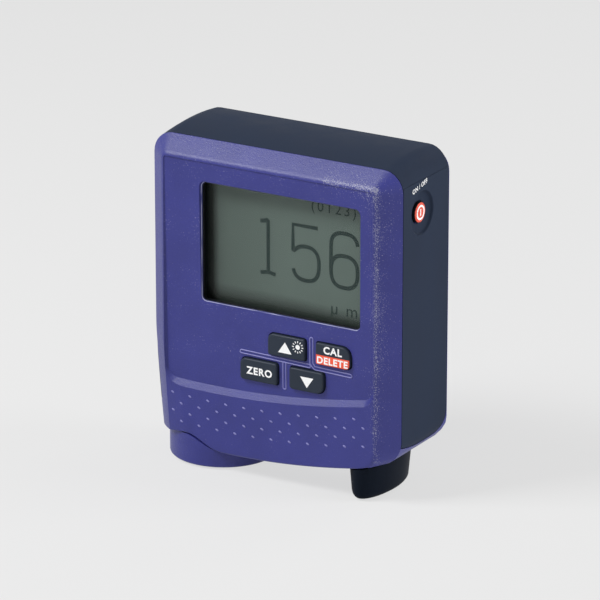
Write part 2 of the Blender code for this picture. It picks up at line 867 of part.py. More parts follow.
def make_cell():
    x0, x1, z0, z1 = WINDOW
    return box(
        "lcd_cell",
        (x0 - 1, x1 + 1),
        (CELL_FRONT, CELL_FRONT + CELL_THICK),
        (z0 - 1, z1 + 1),
    )


def make_holder():
    x0, x1, z0, z1 = WINDOW
    holder = box(
        "lcd_holder",
        (x0 - 1.3, x1 + 1.3),
        (HOLDER_FRONT, HOLDER_FRONT + HOLDER_THICK),
        (z0 - 1.3, z1 + 1.3),
    )
    soften(holder, 0.3, 1)
    return holder


def make_key(key):
    name = key[0]
    flange_front = INNER_FRONT + GAP
    edge = KEY_EDGE
    rings = []
    for i in range(4):
        t = math.radians(30 * i)
        out = -edge + edge * math.sin(t)
        y = KEY_FRONT + edge * (1 - math.cos(t))
        rings.append(along("y", key_outline(key, out), y))
    rings.append(along("y", key_outline(key, 0), flange_front))
    wide = key_outline(key, KEY_FLANGE_OUT)
    rings.append(along("y", wide, flange_front))
    rings.append(along("y", wide, flange_front + KEY_FLANGE))
    return loft(name, rings)


def make_mat():
    """The rubber mat on the board, with a dome behind each key, just out of its reach."""
    back = BOARD_FRONT - GAP
    front = back - MAT_THICK
    x0 = min(key[1] for key in KEYS) - MAT_MARGIN
    x1 = max(key[2] for key in KEYS) + MAT_MARGIN
    z0, z1 = LOWER_KEYS_Z - MAT_MARGIN, UPPER_KEYS_Z + KEY_HEIGHT + MAT_MARGIN
    mat = prism("key_mat", "y", rounded(x0, x1, z0, z1, (2,) * 4), front, back)
    dome_front = INNER_FRONT + GAP + KEY_FLANGE + KEY_TRAVEL + STOP_PLAY
    for _, left, right, z, _ in KEYS:
        centre = ((left + right) / 2, 0, z + KEY_HEIGHT / 2)
        profile = [
            (0, back - 0.2),
            (3.0, back - 0.2),
            (3.0, front - 0.3),
            (2.1, front - 1.2),
            (2.1, dome_front),
            (0, dome_front),
        ]
        add(mat, turned("dome", profile, centre, "y", 20))
    return mat


def make_board():
    notch = BOSS_RADIUS + 0.8
    half, low, left = BOARD_HALF, BOARD_LOW, PROBE_SIDE + 0.5
    (tx, tz), (lx, lz), (rx, rz) = SCREWS[1], SCREWS[2], SCREWS[3]
    points = [
        (left, low),
        (rx - notch, low),
        (rx - notch, rz + notch),
        (half, rz + notch),
        (half, tz - notch),
        (tx - notch, tz - notch),
        (tx - notch, BOARD_TOP),
        (notch - tx, BOARD_TOP),
        (notch - tx, tz - notch),
        (-half, tz - notch),
        (-half, lz + notch),
        (lx + notch, lz + notch),
        (lx + notch, BOARD_LEFT_LOW),
        (left, BOARD_LEFT_LOW),
    ]
    return prism("main_board", "y", points, BOARD_FRONT, BOARD_REAR)


def make_chip():
    half = CHIP / 2
    front = BOARD_REAR + GAP
    return box(
        "main_chip",
        (-half, half),
        (front, front + CHIP_THICK),
        (CHIP_Z - half, CHIP_Z + half),
    )


def make_buzzer():
    x, z = BUZZER_AT
    front = BOARD_REAR + GAP
    radius = BUZZER_RADIUS
    profile = [
        (0, front),
        (radius, front),
        (radius, front + BUZZER_HEIGHT),
        (1.0, front + BUZZER_HEIGHT),
        (1.0, front + BUZZER_HEIGHT - 1),
        (0, front + BUZZER_HEIGHT - 1),
    ]
    return turned("buzzer", profile, (x, 0, z), "y", 24)


def make_button():
    """The power button; its flange stays behind the shell."""
    radius = BUTTON_RADIUS
    face, seat = BUTTON_OUT, BUTTON_SEAT - GAP
    wide = radius + BUTTON_FLANGE_OUT
    profile = [
        (0, seat - BUTTON_FLANGE),
        (wide, seat - BUTTON_FLANGE),
        (wide, seat),
        (radius, seat),
        (radius, face - 0.5),
        (radius - 0.15, face - 0.15),
        (radius - 0.5, face),
        (0, face),
    ]
    return turned("power_button", profile, (0, 0, BUTTON_Z), "x", 32)


def make_switch():
    tip = BUTTON_SEAT - GAP - BUTTON_FLANGE - BUTTON_TRAVEL - STOP_PLAY
    half = SWITCH_SIZE / 2
    front = BOARD_REAR + GAP
    body_end = tip - SWITCH_NUB
    switch = box(
        "power_switch",
        (body_end - SWITCH_LENGTH, body_end),
        (front, half),
        (BUTTON_Z - half, BUTTON_Z + half),
    )
    add(switch, rod("nub", 1.3, (0, 0, BUTTON_Z), body_end - 1, tip, "x", 16))
    return switch


# Probe


def make_probe():
    centre = (PROBE_X, 0, 0)
    base_low, base_top = GAP, GAP + PROBE_BASE_THICK
    fit = BORE_RADIUS - GAP
    base = turned(
        "probe_base",
        [(PROBE_HOLE, base_low), (fit, base_low), (fit, base_top), (PROBE_HOLE, base_top)],
        centre,
        steps=40,
    )
    inner = PLUNGER_RADIUS + GAP
    outer = inner + SLEEVE_WALL
    sleeve_low = base_top + GAP
    sleeve = turned(
        "probe_sleeve",
        [(inner, sleeve_low), (outer, sleeve_low), (outer, SLEEVE_TOP), (inner, SLEEVE_TOP)],
        centre,
        steps=28,
    )
    bobbin = outer + GAP
    flange_low, flange_top = sleeve_low, SLEEVE_TOP - 1.5
    coil = turned(
        "probe_coil",
        [
            (bobbin, flange_low),
            (COIL_RADIUS, flange_low),
            (COIL_RADIUS, flange_low + 1),
            (COIL_RADIUS - 0.8, flange_low + 1.2),
            (COIL_RADIUS - 0.8, flange_top - 1.2),
            (COIL_RADIUS, flange_top - 1),
            (COIL_RADIUS, flange_top),
            (bobbin, flange_top),
        ],
        centre,
        steps=32,
    )
    head_low = SLEEVE_TOP + PLUNGER_TRAVEL + GAP
    head_top = head_low + PLUNGER_HEAD_THICK
    tip = PLUNGER_TIP
    ball = [
        (tip * math.sin(math.radians(a)), tip * (1 - math.cos(math.radians(a))))
        for a in (0, 22, 45, 68, 90)
    ]
    plunger = turned(
        "probe_plunger",
        ball
        + [
            (tip, tip + 0.4),
            (PLUNGER_RADIUS, tip + 1.6),
            (PLUNGER_RADIUS, head_low),
            (PLUNGER_HEAD, head_low),
            (PLUNGER_HEAD, head_top),
            (1.4, head_top),
            (1.4, head_top + 2),
            (0, head_top + 2),
        ],
        centre,
        steps=28,
    )
    cap_top = SPIGOT_TOP - GAP
    cap_low = cap_top - PROBE_CAP_THICK
    cap = turned(
        "probe_cap", [(0, cap_low), (fit, cap_low), (fit, cap_top), (0, cap_top)], centre, steps=40
    )
    spring = make_spring(head_top + GAP, cap_low - GAP)
    connector_low = SPIGOT_TOP
    front = BOARD_REAR + GAP
    connector = box(
        "probe_connector",
        (PROBE_X - CONNECTOR_WIDTH / 2 + 3, PROBE_X + CONNECTOR_WIDTH / 2 + 3),
        (front, front + CONNECTOR_DEPTH),
        (connector_low, CONNECTOR_TOP),
    )
    return base, sleeve, coil, plunger, cap, spring, connector


def make_spring(low, high):
    """A round wire wound from low to high about the probe's axis."""
    wire, radius = SPRING_WIRE, SPRING_RADIUS
    steps_per_turn, sides = 14, 6
    count = SPRING_TURNS * steps_per_turn
    rings = []
    for i in range(count + 1):
        turn = math.tau * i / steps_per_turn
        height = low + wire + (high - low - 2 * wire) * i / count
        ring = []
        for k in range(sides):
            a = math.tau * k / sides
            reach = radius + wire * math.cos(a)
            ring.append(
                (
                    PROBE_X + reach * math.cos(turn),
                    reach * math.sin(turn),
                    height + wire * math.sin(a),
                )
            )
        rings.append(ring)
    return loft("probe_spring", rings)


# Foot


def make_foot():
    """An oval foot, wider at the top, with its top cut to the case's lower edge."""
    high = 14.0
    rings = []
    levels = []
    for i in range(5):
        t = math.radians(90 * i / 4)
        levels.append((FOOT_EDGE * (1 - math.cos(t)), FOOT_EDGE * (math.sin(t) - 1)))
    levels.append((high, 0))
    for z, inward in levels:
        spread = FOOT_TAPER * z / 9 + inward
        a, b = FOOT_HALF[0] + spread, FOOT_HALF[1] + spread * 0.6
        ring = []
        for i in range(40):
            t = math.tau * i / 40
            ring.append((FOOT_X + a * math.cos(t), FOOT_Y + b * math.sin(t), z))
        rings.append(ring)
    foot = loft("support_foot", rings)
    steps = 12
    first, last = FOOT_X - 9, FOOT_X + 9
    line = [first + (last - first) * i / steps for i in range(steps + 1)]
    points = [(x, low_edge(x) - GAP) for x in line] + [(last, 30), (first, 30)]
    cut(foot, prism("case floor", "y", points, -30, 20))
    bore = SCREW_RADIUS + GAP
    low = FOOT_SCREW_END - 0.5
    cut(foot, rod("foot bore", bore, (FOOT_X, FOOT_SCREW_Y, 0), low, 20, steps=16))
    return foot


# Cells and contacts


def cell_places():
    return [CELL_PITCH * (i - 1.5) for i in range(4)]


def make_battery(index):
    """An AAA cell; neighbours point opposite ways."""
    up = index % 2 == 0
    radius = CELL_RADIUS
    can = CELL_LENGTH - NUB_HEIGHT
    profile = [(0, 0), (radius - 0.4, 0), (radius, 0.4), (radius, can - 0.4)]
    profile += [(radius - 0.4, can), (NUB_RADIUS, can), (NUB_RADIUS, CELL_LENGTH)]
    profile += [(0, CELL_LENGTH)]
    if up:
        profile = [(r, CELL_LOW + h) for r, h in profile]
    else:
        profile = [(r, CELL_LOW + CELL_LENGTH - h) for r, h in profile]
    x = cell_places()[index]
    return turned(f"cell_{index + 1}", profile, (x, CELL_Y, 0), steps=28)


def make_contacts(name, plate_low, way):
    """A spring plate with a button for each cell."""
    half = WELL_HALF - GAP
    y0, y1 = WELL_FLOOR + GAP, INNER_BACK - GAP - 0.6
    plate = box(name, (-half, half), (y0, y1), (plate_low, plate_low + CONTACT_THICK))
    root = plate_low + (CONTACT_THICK if way > 0 else 0)
    for x in cell_places():
        profile = [
            (0, root - way * 0.2),
            (3.0, root - way * 0.2),
            (3.0, root + way * 0.3),
            (1.6, root + way * CONTACT_REACH),
            (0, root + way * CONTACT_REACH),
        ]
        add(plate, turned("button", profile, (x, CELL_Y, 0), steps=16))
    return plate


def clear_scene():
    for obj in list(bpy.data.objects):
        bpy.data.objects.remove(obj)


def main():
    clear_scene()
    purple = (0.055, 0.05, 0.22)
    slate = (0.045, 0.055, 0.075)
    black = (0.02, 0.023, 0.03)
    steel = (0.6, 0.6, 0.6)

    case = case_form()
    finish(make_front_shell(case), purple, 0.55)
    finish(make_rear_shell(case), purple, 0.55)
    bpy.data.objects.remove(case)
    finish(make_band(), slate, 0.6)
    low = WELL_LOW - COVER_LAP + COVER_THICK / 2
    hinge = (0, BACK - COVER_THICK / 2, low)
    finish(make_cover(), purple, 0.55, origin=hinge)

    finish(make_lens(), (0.9, 0.95, 0.9), 0.05)
    finish(make_cell(), (0.12, 0.15, 0.12), 0.3)
    finish(make_holder(), (0.8, 0.8, 0.78), 0.5)
    for key in KEYS:
        spot = ((key[1] + key[2]) / 2, KEY_FRONT, key[3] + KEY_HEIGHT / 2)
        finish(make_key(key), black, 0.45, origin=spot)
    finish(make_mat(), (0.25, 0.25, 0.26), 0.8)
    finish(make_board(), (0.02, 0.18, 0.06), 0.5)
    finish(make_chip(), (0.02, 0.02, 0.02), 0.4)
    finish(make_buzzer(), (0.03, 0.03, 0.03), 0.5)
    finish(make_button(), (0.65, 0.08, 0.05), 0.4, origin=(BUTTON_OUT, 0, BUTTON_Z))
    finish(make_switch(), (0.05, 0.05, 0.05), 0.5)

    base, sleeve, coil, plunger, cap, spring, connector = make_probe()
    finish(base, black, 0.5)
    finish(sleeve, (0.75, 0.6, 0.3), 0.3, 1.0)
    finish(coil, (0.55, 0.22, 0.08), 0.35, 1.0)
    finish(plunger, steel, 0.2, 1.0, origin=(PROBE_X, 0, 0))
    finish(cap, black, 0.5)
    finish(spring, steel, 0.3, 1.0)
    finish(connector, (0.85, 0.85, 0.8), 0.5)

    finish(make_foot(), black, 0.5)
    floor = low_edge(HALF - LOW_CORNER) + FLOOR_THICK + GAP
    foot_screw = screw_at(
        "foot_screw", (FOOT_X, FOOT_SCREW_Y, 0), floor, FOOT_SCREW_END, "z", 1
    )
    finish(foot_screw, steel, 0.3, 1.0)
    for index, (x, z) in enumerate(SCREWS):
        name = f"case_screw_{index + 1}"
        screw = screw_at(name, (x, 0, z), SCREW_SEAT, SCREW_END, "y", 1)
        finish(screw, steel, 0.3, 1.0)
    for index in range(4):
        finish(make_battery(index), (0.35, 0.35, 0.38), 0.35, 0.8)
    finish(make_contacts("contact_low", WELL_LOW + GAP, 1), steel, 0.3, 1.0)
    top_plate = WELL_TOP - GAP - CONTACT_THICK
    finish(make_contacts("contact_high", top_plate, -1), steel, 0.3, 1.0)


main()
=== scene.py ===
"""The finished look of a handheld coating thickness gauge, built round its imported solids.

All places are in metres in the frame of the solids: X to the user's right, Y to the
back, Z up, with the gauge standing on z = 0. The display faces -Y.
"""

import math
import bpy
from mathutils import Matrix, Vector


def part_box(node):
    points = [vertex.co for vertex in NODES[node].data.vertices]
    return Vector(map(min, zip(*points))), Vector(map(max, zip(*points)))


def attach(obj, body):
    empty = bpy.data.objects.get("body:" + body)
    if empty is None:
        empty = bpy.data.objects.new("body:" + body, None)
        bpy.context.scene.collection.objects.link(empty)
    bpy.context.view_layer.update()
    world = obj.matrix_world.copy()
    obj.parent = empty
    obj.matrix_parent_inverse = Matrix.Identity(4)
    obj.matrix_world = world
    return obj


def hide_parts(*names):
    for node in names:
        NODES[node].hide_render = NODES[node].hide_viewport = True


bl_info = {
    "name": "Coating Thickness Gauge",
    "version": (1, 0, 0),
    "blender": (4, 5, 0),
    "location": "View3D > Sidebar > Gauge",
    "description": "Dresses a coating thickness gauge's solids and sets up its studio",
    "category": "Add Mesh",
}

import bmesh
import bpy
from bpy.props import (
    FloatProperty,
    FloatVectorProperty,
    IntProperty,
    PointerProperty,
    StringProperty,
)
from mathutils import Matrix, Vector
from mathutils.bvhtree import BVHTree

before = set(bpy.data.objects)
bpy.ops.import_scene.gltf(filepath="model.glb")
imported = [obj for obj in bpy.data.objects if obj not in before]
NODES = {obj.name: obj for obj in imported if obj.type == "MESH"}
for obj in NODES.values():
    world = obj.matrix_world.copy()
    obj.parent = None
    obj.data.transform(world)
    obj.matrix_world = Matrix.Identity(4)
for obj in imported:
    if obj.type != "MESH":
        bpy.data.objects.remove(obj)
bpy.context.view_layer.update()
MM = 0.001
PRINT_THICKNESS = 0.03 * MM
SEGMENT_THICKNESS = 0.02 * MM
# The display's opening in the front shell: x from, x to, z from, z to
OPENING = (-23.3 * MM, 30.3 * MM, 50.2 * MM, 87.0 * MM)
# The opening's rim lies in front of this y
OPENING_RIM_Y = -15.0 * MM
# The y levels between which the opening's wall is painted dark as shade, and those of its
# painted highlight line
SHADED_WALL = (-14.7 * MM, -14.5 * MM)
HIGHLIGHT_LINE = (-14.98 * MM, -14.78 * MM)
# The height of a capital as a share of a text's size
CAPITAL_SHARE = 0.7
# How far round the power button's axis the rim of its dish reaches
DISH_REACH = 7 * MM
# A moulded edge's radius as a share of the radius of a rim
EDGE_SHARE_OF_RIM = 0.35
# Vertices of a solid, and of a piece, are one where they are nearer than this
SOLID_WELD, PIECE_WELD = 0.002 * MM, 0.003 * MM
# Faces of a solid are one where they meet at less than this angle
FLAT_ANGLE = math.radians(0.4)
# Faces that meet at less than this many degrees are shaded as one: on the shells, and on
# pieces that are round all over
SHELL_SMOOTH = 22
ROUND_SMOOTH = 180
# Rays that feel for the front start at this y and run backwards
IN_FRONT = -50 * MM
BACKWARDS = Vector((0, 1, 0))
# The range in which most values of a noise lie
USUAL_NOISE = (0.3, 0.7)
# A wave texture at scale 1 repeats after this many metres
WAVE_LENGTH = 0.314


def linear(code):
    """A hex colour as four linear values."""
    values = [int(code[i : i + 2], 16) / 255 for i in (1, 3, 5)]
    return (
        *[v / 12.92 if v <= 0.04045 else ((v + 0.055) / 1.055) ** 2.4 for v in values],
        1.0,
    )


def colour_property(name, description, code):
    return FloatVectorProperty(
        name=name,
        description=description,
        subtype="COLOR",
        size=4,
        min=0,
        max=1,
        default=linear(code),
    )


def length_property(name, description, millimetres):
    return FloatProperty(
        name=name,
        description=description,
        default=millimetres * MM,
        min=0,
        subtype="DISTANCE",
        unit="LENGTH",
    )


# Sizes and colours that a user would change


class GaugeSizes(bpy.types.PropertyGroup):
    grain: length_property("Grain", "Spacing of the moulded texture's grains", 0.34)
    edge: length_property("Edge", "Radius that breaks the moulded edges", 0.12)
    pip_pitch: length_property("Pip pitch", "Spacing of the grip pips in a row", 6.09)
    pip_row: length_property("Pip rows", "Spacing of the rows of grip pips", 2.77)
    pip_length: length_property("Pip length", "Length of a grip pip", 1.15)
    pip_height: length_property("Pip height", "How far a grip pip stands up", 0.15)
    pips_per_row: IntProperty(
        name="Pips per row",
        description="Number of grip pips in each row",
        default=11,
        min=1,
    )
    rib_width: length_property("Rib width", "Width of the ribs between the keys", 1.0)
    rib_height: length_property("Rib height", "Height of those ribs", 0.22)
    legend_height: length_property("Legend height", "Capital height on the keys", 2.1)
    digit_height: length_property("Digit height", "Height of the large digits", 16.3)
    stroke: length_property("Digit stroke", "Width of a digit's stroke", 1.2)


class GaugeColours(bpy.types.PropertyGroup):
    case: colour_property("Case", "Purple-blue of both shells", "#2e3177")
    band: colour_property("Band", "Dark slate of the side band", "#2a3242")
    key: colour_property("Keys", "Dark grey of the keys", "#262e3a")
    legend: colour_property("Legends", "White print", "#f2f2f2")
    strip: colour_property("Strip", "Orange-red print low on a key", "#e8593f")
    button: colour_property("Button", "Red of the power button", "#d9533f")
    foot: colour_property("Foot", "Near-black of the support foot", "#0f151f")
    display: colour_property("Display", "Grey-green of the display", "#6a7a73")
    digit: colour_property("Digits", "Dark grey-green of a driven segment", "#2d3f3c")
    floor: colour_property("Floor", "Pale grey of the floor", "#e7e7e7")
    reading: StringProperty(
        name="Reading",
        description="The number on the display, in the digits 1, 5 and 6",
        default="156",
    )


# Nodes and materials


def add_node(tree, kind, settings=None, links=None):
    """Adds a node; settings name its properties or inputs, links its inputs' sources."""
    node = tree.nodes.new(kind)
    for key, value in (settings or {}).items():
        if isinstance(key, str) and hasattr(node, key):
            setattr(node, key, value)
        else:
            node.inputs[key].default_value = value
    for key, source in (links or {}).items():
        tree.links.new(source, node.inputs[key])
    return node


def new_material(name, settings):
    """A material with one Principled shader, its settings, and its object coordinates."""
    material = bpy.data.materials.new(name)
    material.use_nodes = True
    tree = material.node_tree
    shader = tree.nodes["Principled BSDF"]
    for key, value in settings.items():
        shader.inputs[key].default_value = value
    place = add_node(tree, "ShaderNodeTexCoord").outputs["Object"]
    return material, tree, shader, place


def noise(tree, place, spacing, detail=2.0, roughness=0.5):
    """Noise whose grains are about the given spacing in metres."""
    settings = {"Scale": 1 / spacing, "Detail": detail, "Roughness": roughness}
    node = add_node(tree, "ShaderNodeTexNoise", settings, {"Vector": place})
    return node.outputs["Fac"]


def spread(tree, source, low, high, to_low, to_high):
    """Maps low..high of a source to another range, held at its ends."""
    settings = {1: low, 2: high, 3: to_low, 4: to_high}
    return add_node(tree, "ShaderNodeMapRange", settings, {0: source}).outputs[0]


def varied(tree, source, to_low, to_high):
    """Lets a noise vary a value between two others."""
    return spread(tree, source, *USUAL_NOISE, to_low, to_high)


def combined(tree, operation, first, second):
    """What a maths node makes of two sources or numbers."""
    settings, links = {"operation": operation}, {}
    for i, value in enumerate((first, second)):
        kind = settings if isinstance(value, float) else links
        kind[i] = value
    return add_node(tree, "ShaderNodeMath", settings, links).outputs[0]


def blend(tree, factor, first, second):
    """A colour between two; each is a colour or a source."""
    node = tree.nodes.new("ShaderNodeMix")
    node.data_type = "RGBA"
    sockets = (node.inputs["Factor"], node.inputs[6], node.inputs[7])
    for socket, value in zip(sockets, (factor, first, second)):
        if isinstance(value, bpy.types.NodeSocket):
            tree.links.new(value, socket)
        else:
            socket.default_value = value
    return node.outputs[2]


def bump(tree, shader, height, distance, strength=1.0):
    node = add_node(
        tree,
        "ShaderNodeBump",
        {"Distance": distance, "Strength": strength},
        {"Height": height},
    )
    tree.links.new(node.outputs["Normal"], shader.inputs["Normal"])


def shaded(colour, factor):
    """A colour made lighter or darker."""
    return (*[min(1.0, v * factor) for v in colour[:3]], 1.0)


def mottled(tree, source, colour, dark, pale):
    """A colour that a noise varies between two shades of it."""
    share = varied(tree, source, 0.0, 1.0)
    return blend(tree, share, shaded(colour, dark), shaded(colour, pale))


def axes_of(tree, place):
    """The x, y and z of a place."""
    return add_node(tree, "ShaderNodeSeparateXYZ", links={0: place}).outputs


def reopened(material):
    """A finished material's tree and shader, its base colour, and its object axes."""
    tree = material.node_tree
    shader = tree.nodes["Principled BSDF"]
    plain = shader.inputs["Base Color"].links[0].from_socket
    place = next(n for n in tree.nodes if n.type == "TEX_COORD").outputs["Object"]
    return tree, shader, plain, axes_of(tree, place)


def seen_directly(tree):
    """1 for rays from the camera, off gloss and through clear pieces, 0 for the rest."""
    path = add_node(tree, "ShaderNodeLightPath").outputs
    seen = combined(tree, "ADD", path["Is Camera Ray"], path["Is Glossy Ray"])
    seen = combined(tree, "ADD", seen, path["Is Transmission Ray"])
    return combined(tree, "MINIMUM", seen, 1.0)


def within(tree, source, low, high, soft=0.05 * MM):
    """1 between two levels of a source, falling to 0 over a soft edge outside them."""
    after = spread(tree, source, low - soft, low, 0.0, 1.0)
    before = spread(tree, source, high, high + soft, 1.0, 0.0)
    return combined(tree, "MULTIPLY", after, before)


def eroded_abs(name, colour, grain, creases=(), opening=None):
    """Spark-eroded ABS: a fine even grain, with pale specks painted into its colour
    as glints of light on the grain's tips.

    The painted glints are densest along the creases, each given as an axis, its level,
    and the axis, the low and the high end of the crease's run: partly as wear on the
    creases and partly as a painted sheen that fades over a few millimetres from them.
    The grain is drawn coarser than such plastic has it, or it wouldn't show. The wall
    of the display's opening, given as x from, x to, z from, z to, is painted near-black
    as shade deep inside it, with a painted highlight line near its front.
    """
    material, tree, shader, place = new_material(
        name, {"IOR": 1.53, "Specular IOR Level": 0.35}
    )
    fine = noise(tree, place, grain, 3.0, 0.6)
    cloud = noise(tree, place, 14 * MM, 2.0)
    speck = noise(tree, place, grain * 0.75, 1.0, 0.4)
    patch = noise(tree, place, 7 * MM, 1.0)
    axes = axes_of(tree, place)
    # Noise and height set how many pale specks are painted: patchy, and fewer towards the
    # bottom
    level = spread(tree, patch, 0.35, 0.65, -0.06, 0.0)
    lower = spread(tree, axes[2], 30 * MM, 40 * MM, -0.05, 0.0)
    level = combined(tree, "ADD", level, lower)
    # Near each crease the specks grow denser: wear on the crease, and a painted sheen that
    # fades over 4.5 mm
    for axis, at, run, low, high in creases:
        away = combined(tree, "ABSOLUTE", combined(tree, "SUBTRACT", axes[axis], at), 0.0)
        near = spread(tree, away, 0.2 * MM, 1.2 * MM, 0.1, 0.0)
        sheen_band = spread(tree, away, 0.0, 4.5 * MM, 0.1, 0.0)
        near = combined(tree, "ADD", near, sheen_band)
        share = within(tree, axes[run], low, high, 0.4 * MM)
        level = combined(tree, "ADD", level, combined(tree, "MULTIPLY", near, share))
    # The specks are painted highlights: glints of light on the grain's tips, mixed into the
    # colour
    painted_glints = combined(tree, "ADD", speck, level)
    painted_glints = spread(tree, painted_glints, 0.69, 0.76, 0.0, 0.72)
    base = mottled(tree, cloud, colour, 0.92, 1.08)
    grains = spread(tree, fine, 0.35, 0.65, 0.0, 0.14)
    base = blend(tree, grains, base, shaded(colour, 2.0))
    pale = (*[0.6 * c + 0.3 for c in colour[:3]], 1.0)
    base = blend(tree, painted_glints, base, pale)
    if opening:
        x0, x1, z0, z1 = opening
        # Painted shade: deep inside the display's opening its wall is coloured near-black
        painted_shade = spread(tree, axes[1], *SHADED_WALL, 0.0, 1.0)
        across, upright = within(tree, axes[0], x0, x1), within(tree, axes[2], z0, z1)
        inside = combined(tree, "MULTIPLY", across, upright)
        share = combined(tree, "MULTIPLY", painted_shade, inside)
        base = blend(tree, share, base, linear("#0c0f14"))
        # Painted highlight: a thin pale line on the opening's wall near its front, broken
        # by a noise
        highlight_line = combined(tree, "MULTIPLY", within(tree, axes[1], *HIGHLIGHT_LINE), inside)
        broken_highlight = spread(tree, patch, 0.42, 0.6, 0.12, 0.75)
        highlight_line = combined(tree, "MULTIPLY", highlight_line, broken_highlight)
        base = blend(tree, highlight_line, base, linear("#b9bbd6"))
    tree.links.new(base, shader.inputs["Base Color"])
    rough = varied(tree, fine, 0.34, 0.46)
    tree.links.new(rough, shader.inputs["Roughness"])
    bump(tree, shader, fine, grain * 0.3, 0.8)
    return material


def satin_abs(name, colour, roughness=0.5, marks=0.06, gloss=0.3):
    """Plain moulded plastic: a soft satin with faint flow marks and handling marks."""
    material, tree, shader, place = new_material(
        name, {"IOR": 1.5, "Specular IOR Level": gloss}
    )
    flow = add_node(
        tree, "ShaderNodeMapping", {"Scale": (1.0, 1.0, 0.35)}, {"Vector": place}
    ).outputs[0]
    cloud = noise(tree, flow, 9 * MM, 3.0, 0.55)
    fine = noise(tree, place, 0.3 * MM, 2.0)
    base = mottled(tree, cloud, colour, 1 - marks, 1 + marks)
    tree.links.new(base, shader.inputs["Base Color"])
    rough = varied(tree, cloud, roughness - 0.06, roughness + 0.07)
    tree.links.new(rough, shader.inputs["Roughness"])
    bump(tree, shader, fine, 0.012 * MM, 0.5)
    return material


def printed_key(name, colour, strip, top, face):
    """A key's dark satin plastic, printed in another colour below a level on its face."""
    material = satin_abs(name, colour, 0.42, gloss=0.2)
    tree, shader, plain, axes = reopened(material)
    below = spread(tree, axes[2], top - 0.03 * MM, top + 0.03 * MM, 1.0, 0.0)
    front = spread(tree, axes[1], face + 0.1 * MM, face + 0.2 * MM, 1.0, 0.0)
    share = combined(tree, "MULTIPLY", below, front)
    tree.links.new(blend(tree, share, plain, strip), shader.inputs["Base Color"])
    return material


def red_faced_cap(name, body, face, level):
    """A black cap whose outer face alone is printed red."""
    material = satin_abs(name, body, 0.4, gloss=0.2)
    tree, shader, plain, axes = reopened(material)
    share = spread(tree, axes[0], level - 0.3 * MM, level - 0.2 * MM, 0.0, 1.0)
    tree.links.new(blend(tree, share, plain, face), shader.inputs["Base Color"])
    return material


def print_ink(name, colour):
    """Screen-printed ink: matt, and a little unevenly laid."""
    material, tree, shader, place = new_material(name, {"Specular IOR Level": 0.3})
    cover = noise(tree, place, 0.5 * MM, 2.0)
    base = blend(tree, varied(tree, cover, 0.0, 1.0), shaded(colour, 0.94), colour)
    tree.links.new(base, shader.inputs["Base Color"])
    tree.links.new(varied(tree, cover, 0.5, 0.65), shader.inputs["Roughness"])
    return material


def liquid_crystal(name, colour):
    """A reflective display cell: a dull grey-green polariser over a pearly reflector.

    It is painted darker towards its left and lower edges, as the shadow of the opening's
    walls, and painted darker on its left and lighter on its right, as shade across it.
    """
    material, tree, shader, place = new_material(name, {"Specular IOR Level": 0.3})
    pearl = noise(tree, place, 0.25 * MM, 2.0)
    cloud = noise(tree, place, 25 * MM, 1.0)
    axes = axes_of(tree, place)
    tone_and_shade = varied(tree, cloud, 0.97, 1.03)
    # Painted shadow along the lower and left edges, and painted shade from dark at the left
    # to light at the right
    for share in (
        spread(tree, axes[2], 51.5 * MM, 56 * MM, 0.3, 1.0),
        spread(tree, axes[0], -21.2 * MM, -18.8 * MM, 0.15, 1.0),
        spread(tree, axes[0], -20 * MM, 26 * MM, 0.76, 1.22),
        varied(tree, pearl, 0.98, 1.02),
    ):
        tone_and_shade = combined(tree, "MULTIPLY", tone_and_shade, share)
    base = blend(tree, tone_and_shade, (0.0, 0.0, 0.0, 1.0), colour)
    tree.links.new(base, shader.inputs["Base Color"])
    tree.links.new(varied(tree, pearl, 0.3, 0.4), shader.inputs["Roughness"])
    return material


def clear_acrylic(name):
    """A thin clear window: most light goes straight through, the rest is its gloss."""
    material, tree, shader, place = new_material(
        name, {"Base Color": (0.01, 0.012, 0.011, 1.0), "IOR": 1.49, "Alpha": 0.12}
    )
    smear = noise(tree, place, 12 * MM, 3.0)
    tree.links.new(varied(tree, smear, 0.04, 0.1), shader.inputs["Roughness"])
    return material


def plated(name, colour, roughness, scale):
    """Turned or stamped metal: fine machining lines vary its gloss."""
    material, tree, shader, place = new_material(name, {"Metallic": 1.0})
    lines = add_node(
        tree, "ShaderNodeMapping", {"Scale": (0.15, 0.15, 1.0)}, {"Vector": place}
    ).outputs[0]
    grain = noise(tree, lines, scale, 3.0)
    rough = varied(tree, grain, roughness * 0.7, roughness * 1.3)
    tree.links.new(rough, shader.inputs["Roughness"])
    base = mottled(tree, grain, colour, 0.9, 1.05)
    tree.links.new(base, shader.inputs["Base Color"])
    bump(tree, shader, grain, 0.005 * MM, 0.4)
    return material


def wound_copper(name, colour):
    """Enamelled wire in even turns, drawn as rings as far apart as the wire is thick."""
    material, tree, shader, place = new_material(
        name, {"Metallic": 1.0, "Roughness": 0.32}
    )
    scale = WAVE_LENGTH / (0.4 * MM)
    settings = {"wave_type": "BANDS", "bands_direction": "Z", "Scale": scale}
    wave = add_node(tree, "ShaderNodeTexWave", settings, {"Vector": place})
    turns = wave.outputs["Fac"]
    base = blend(tree, turns, shaded(colour, 0.35), colour)
    tree.links.new(base, shader.inputs["Base Color"])
    bump(tree, shader, turns, 0.08 * MM)
    return material


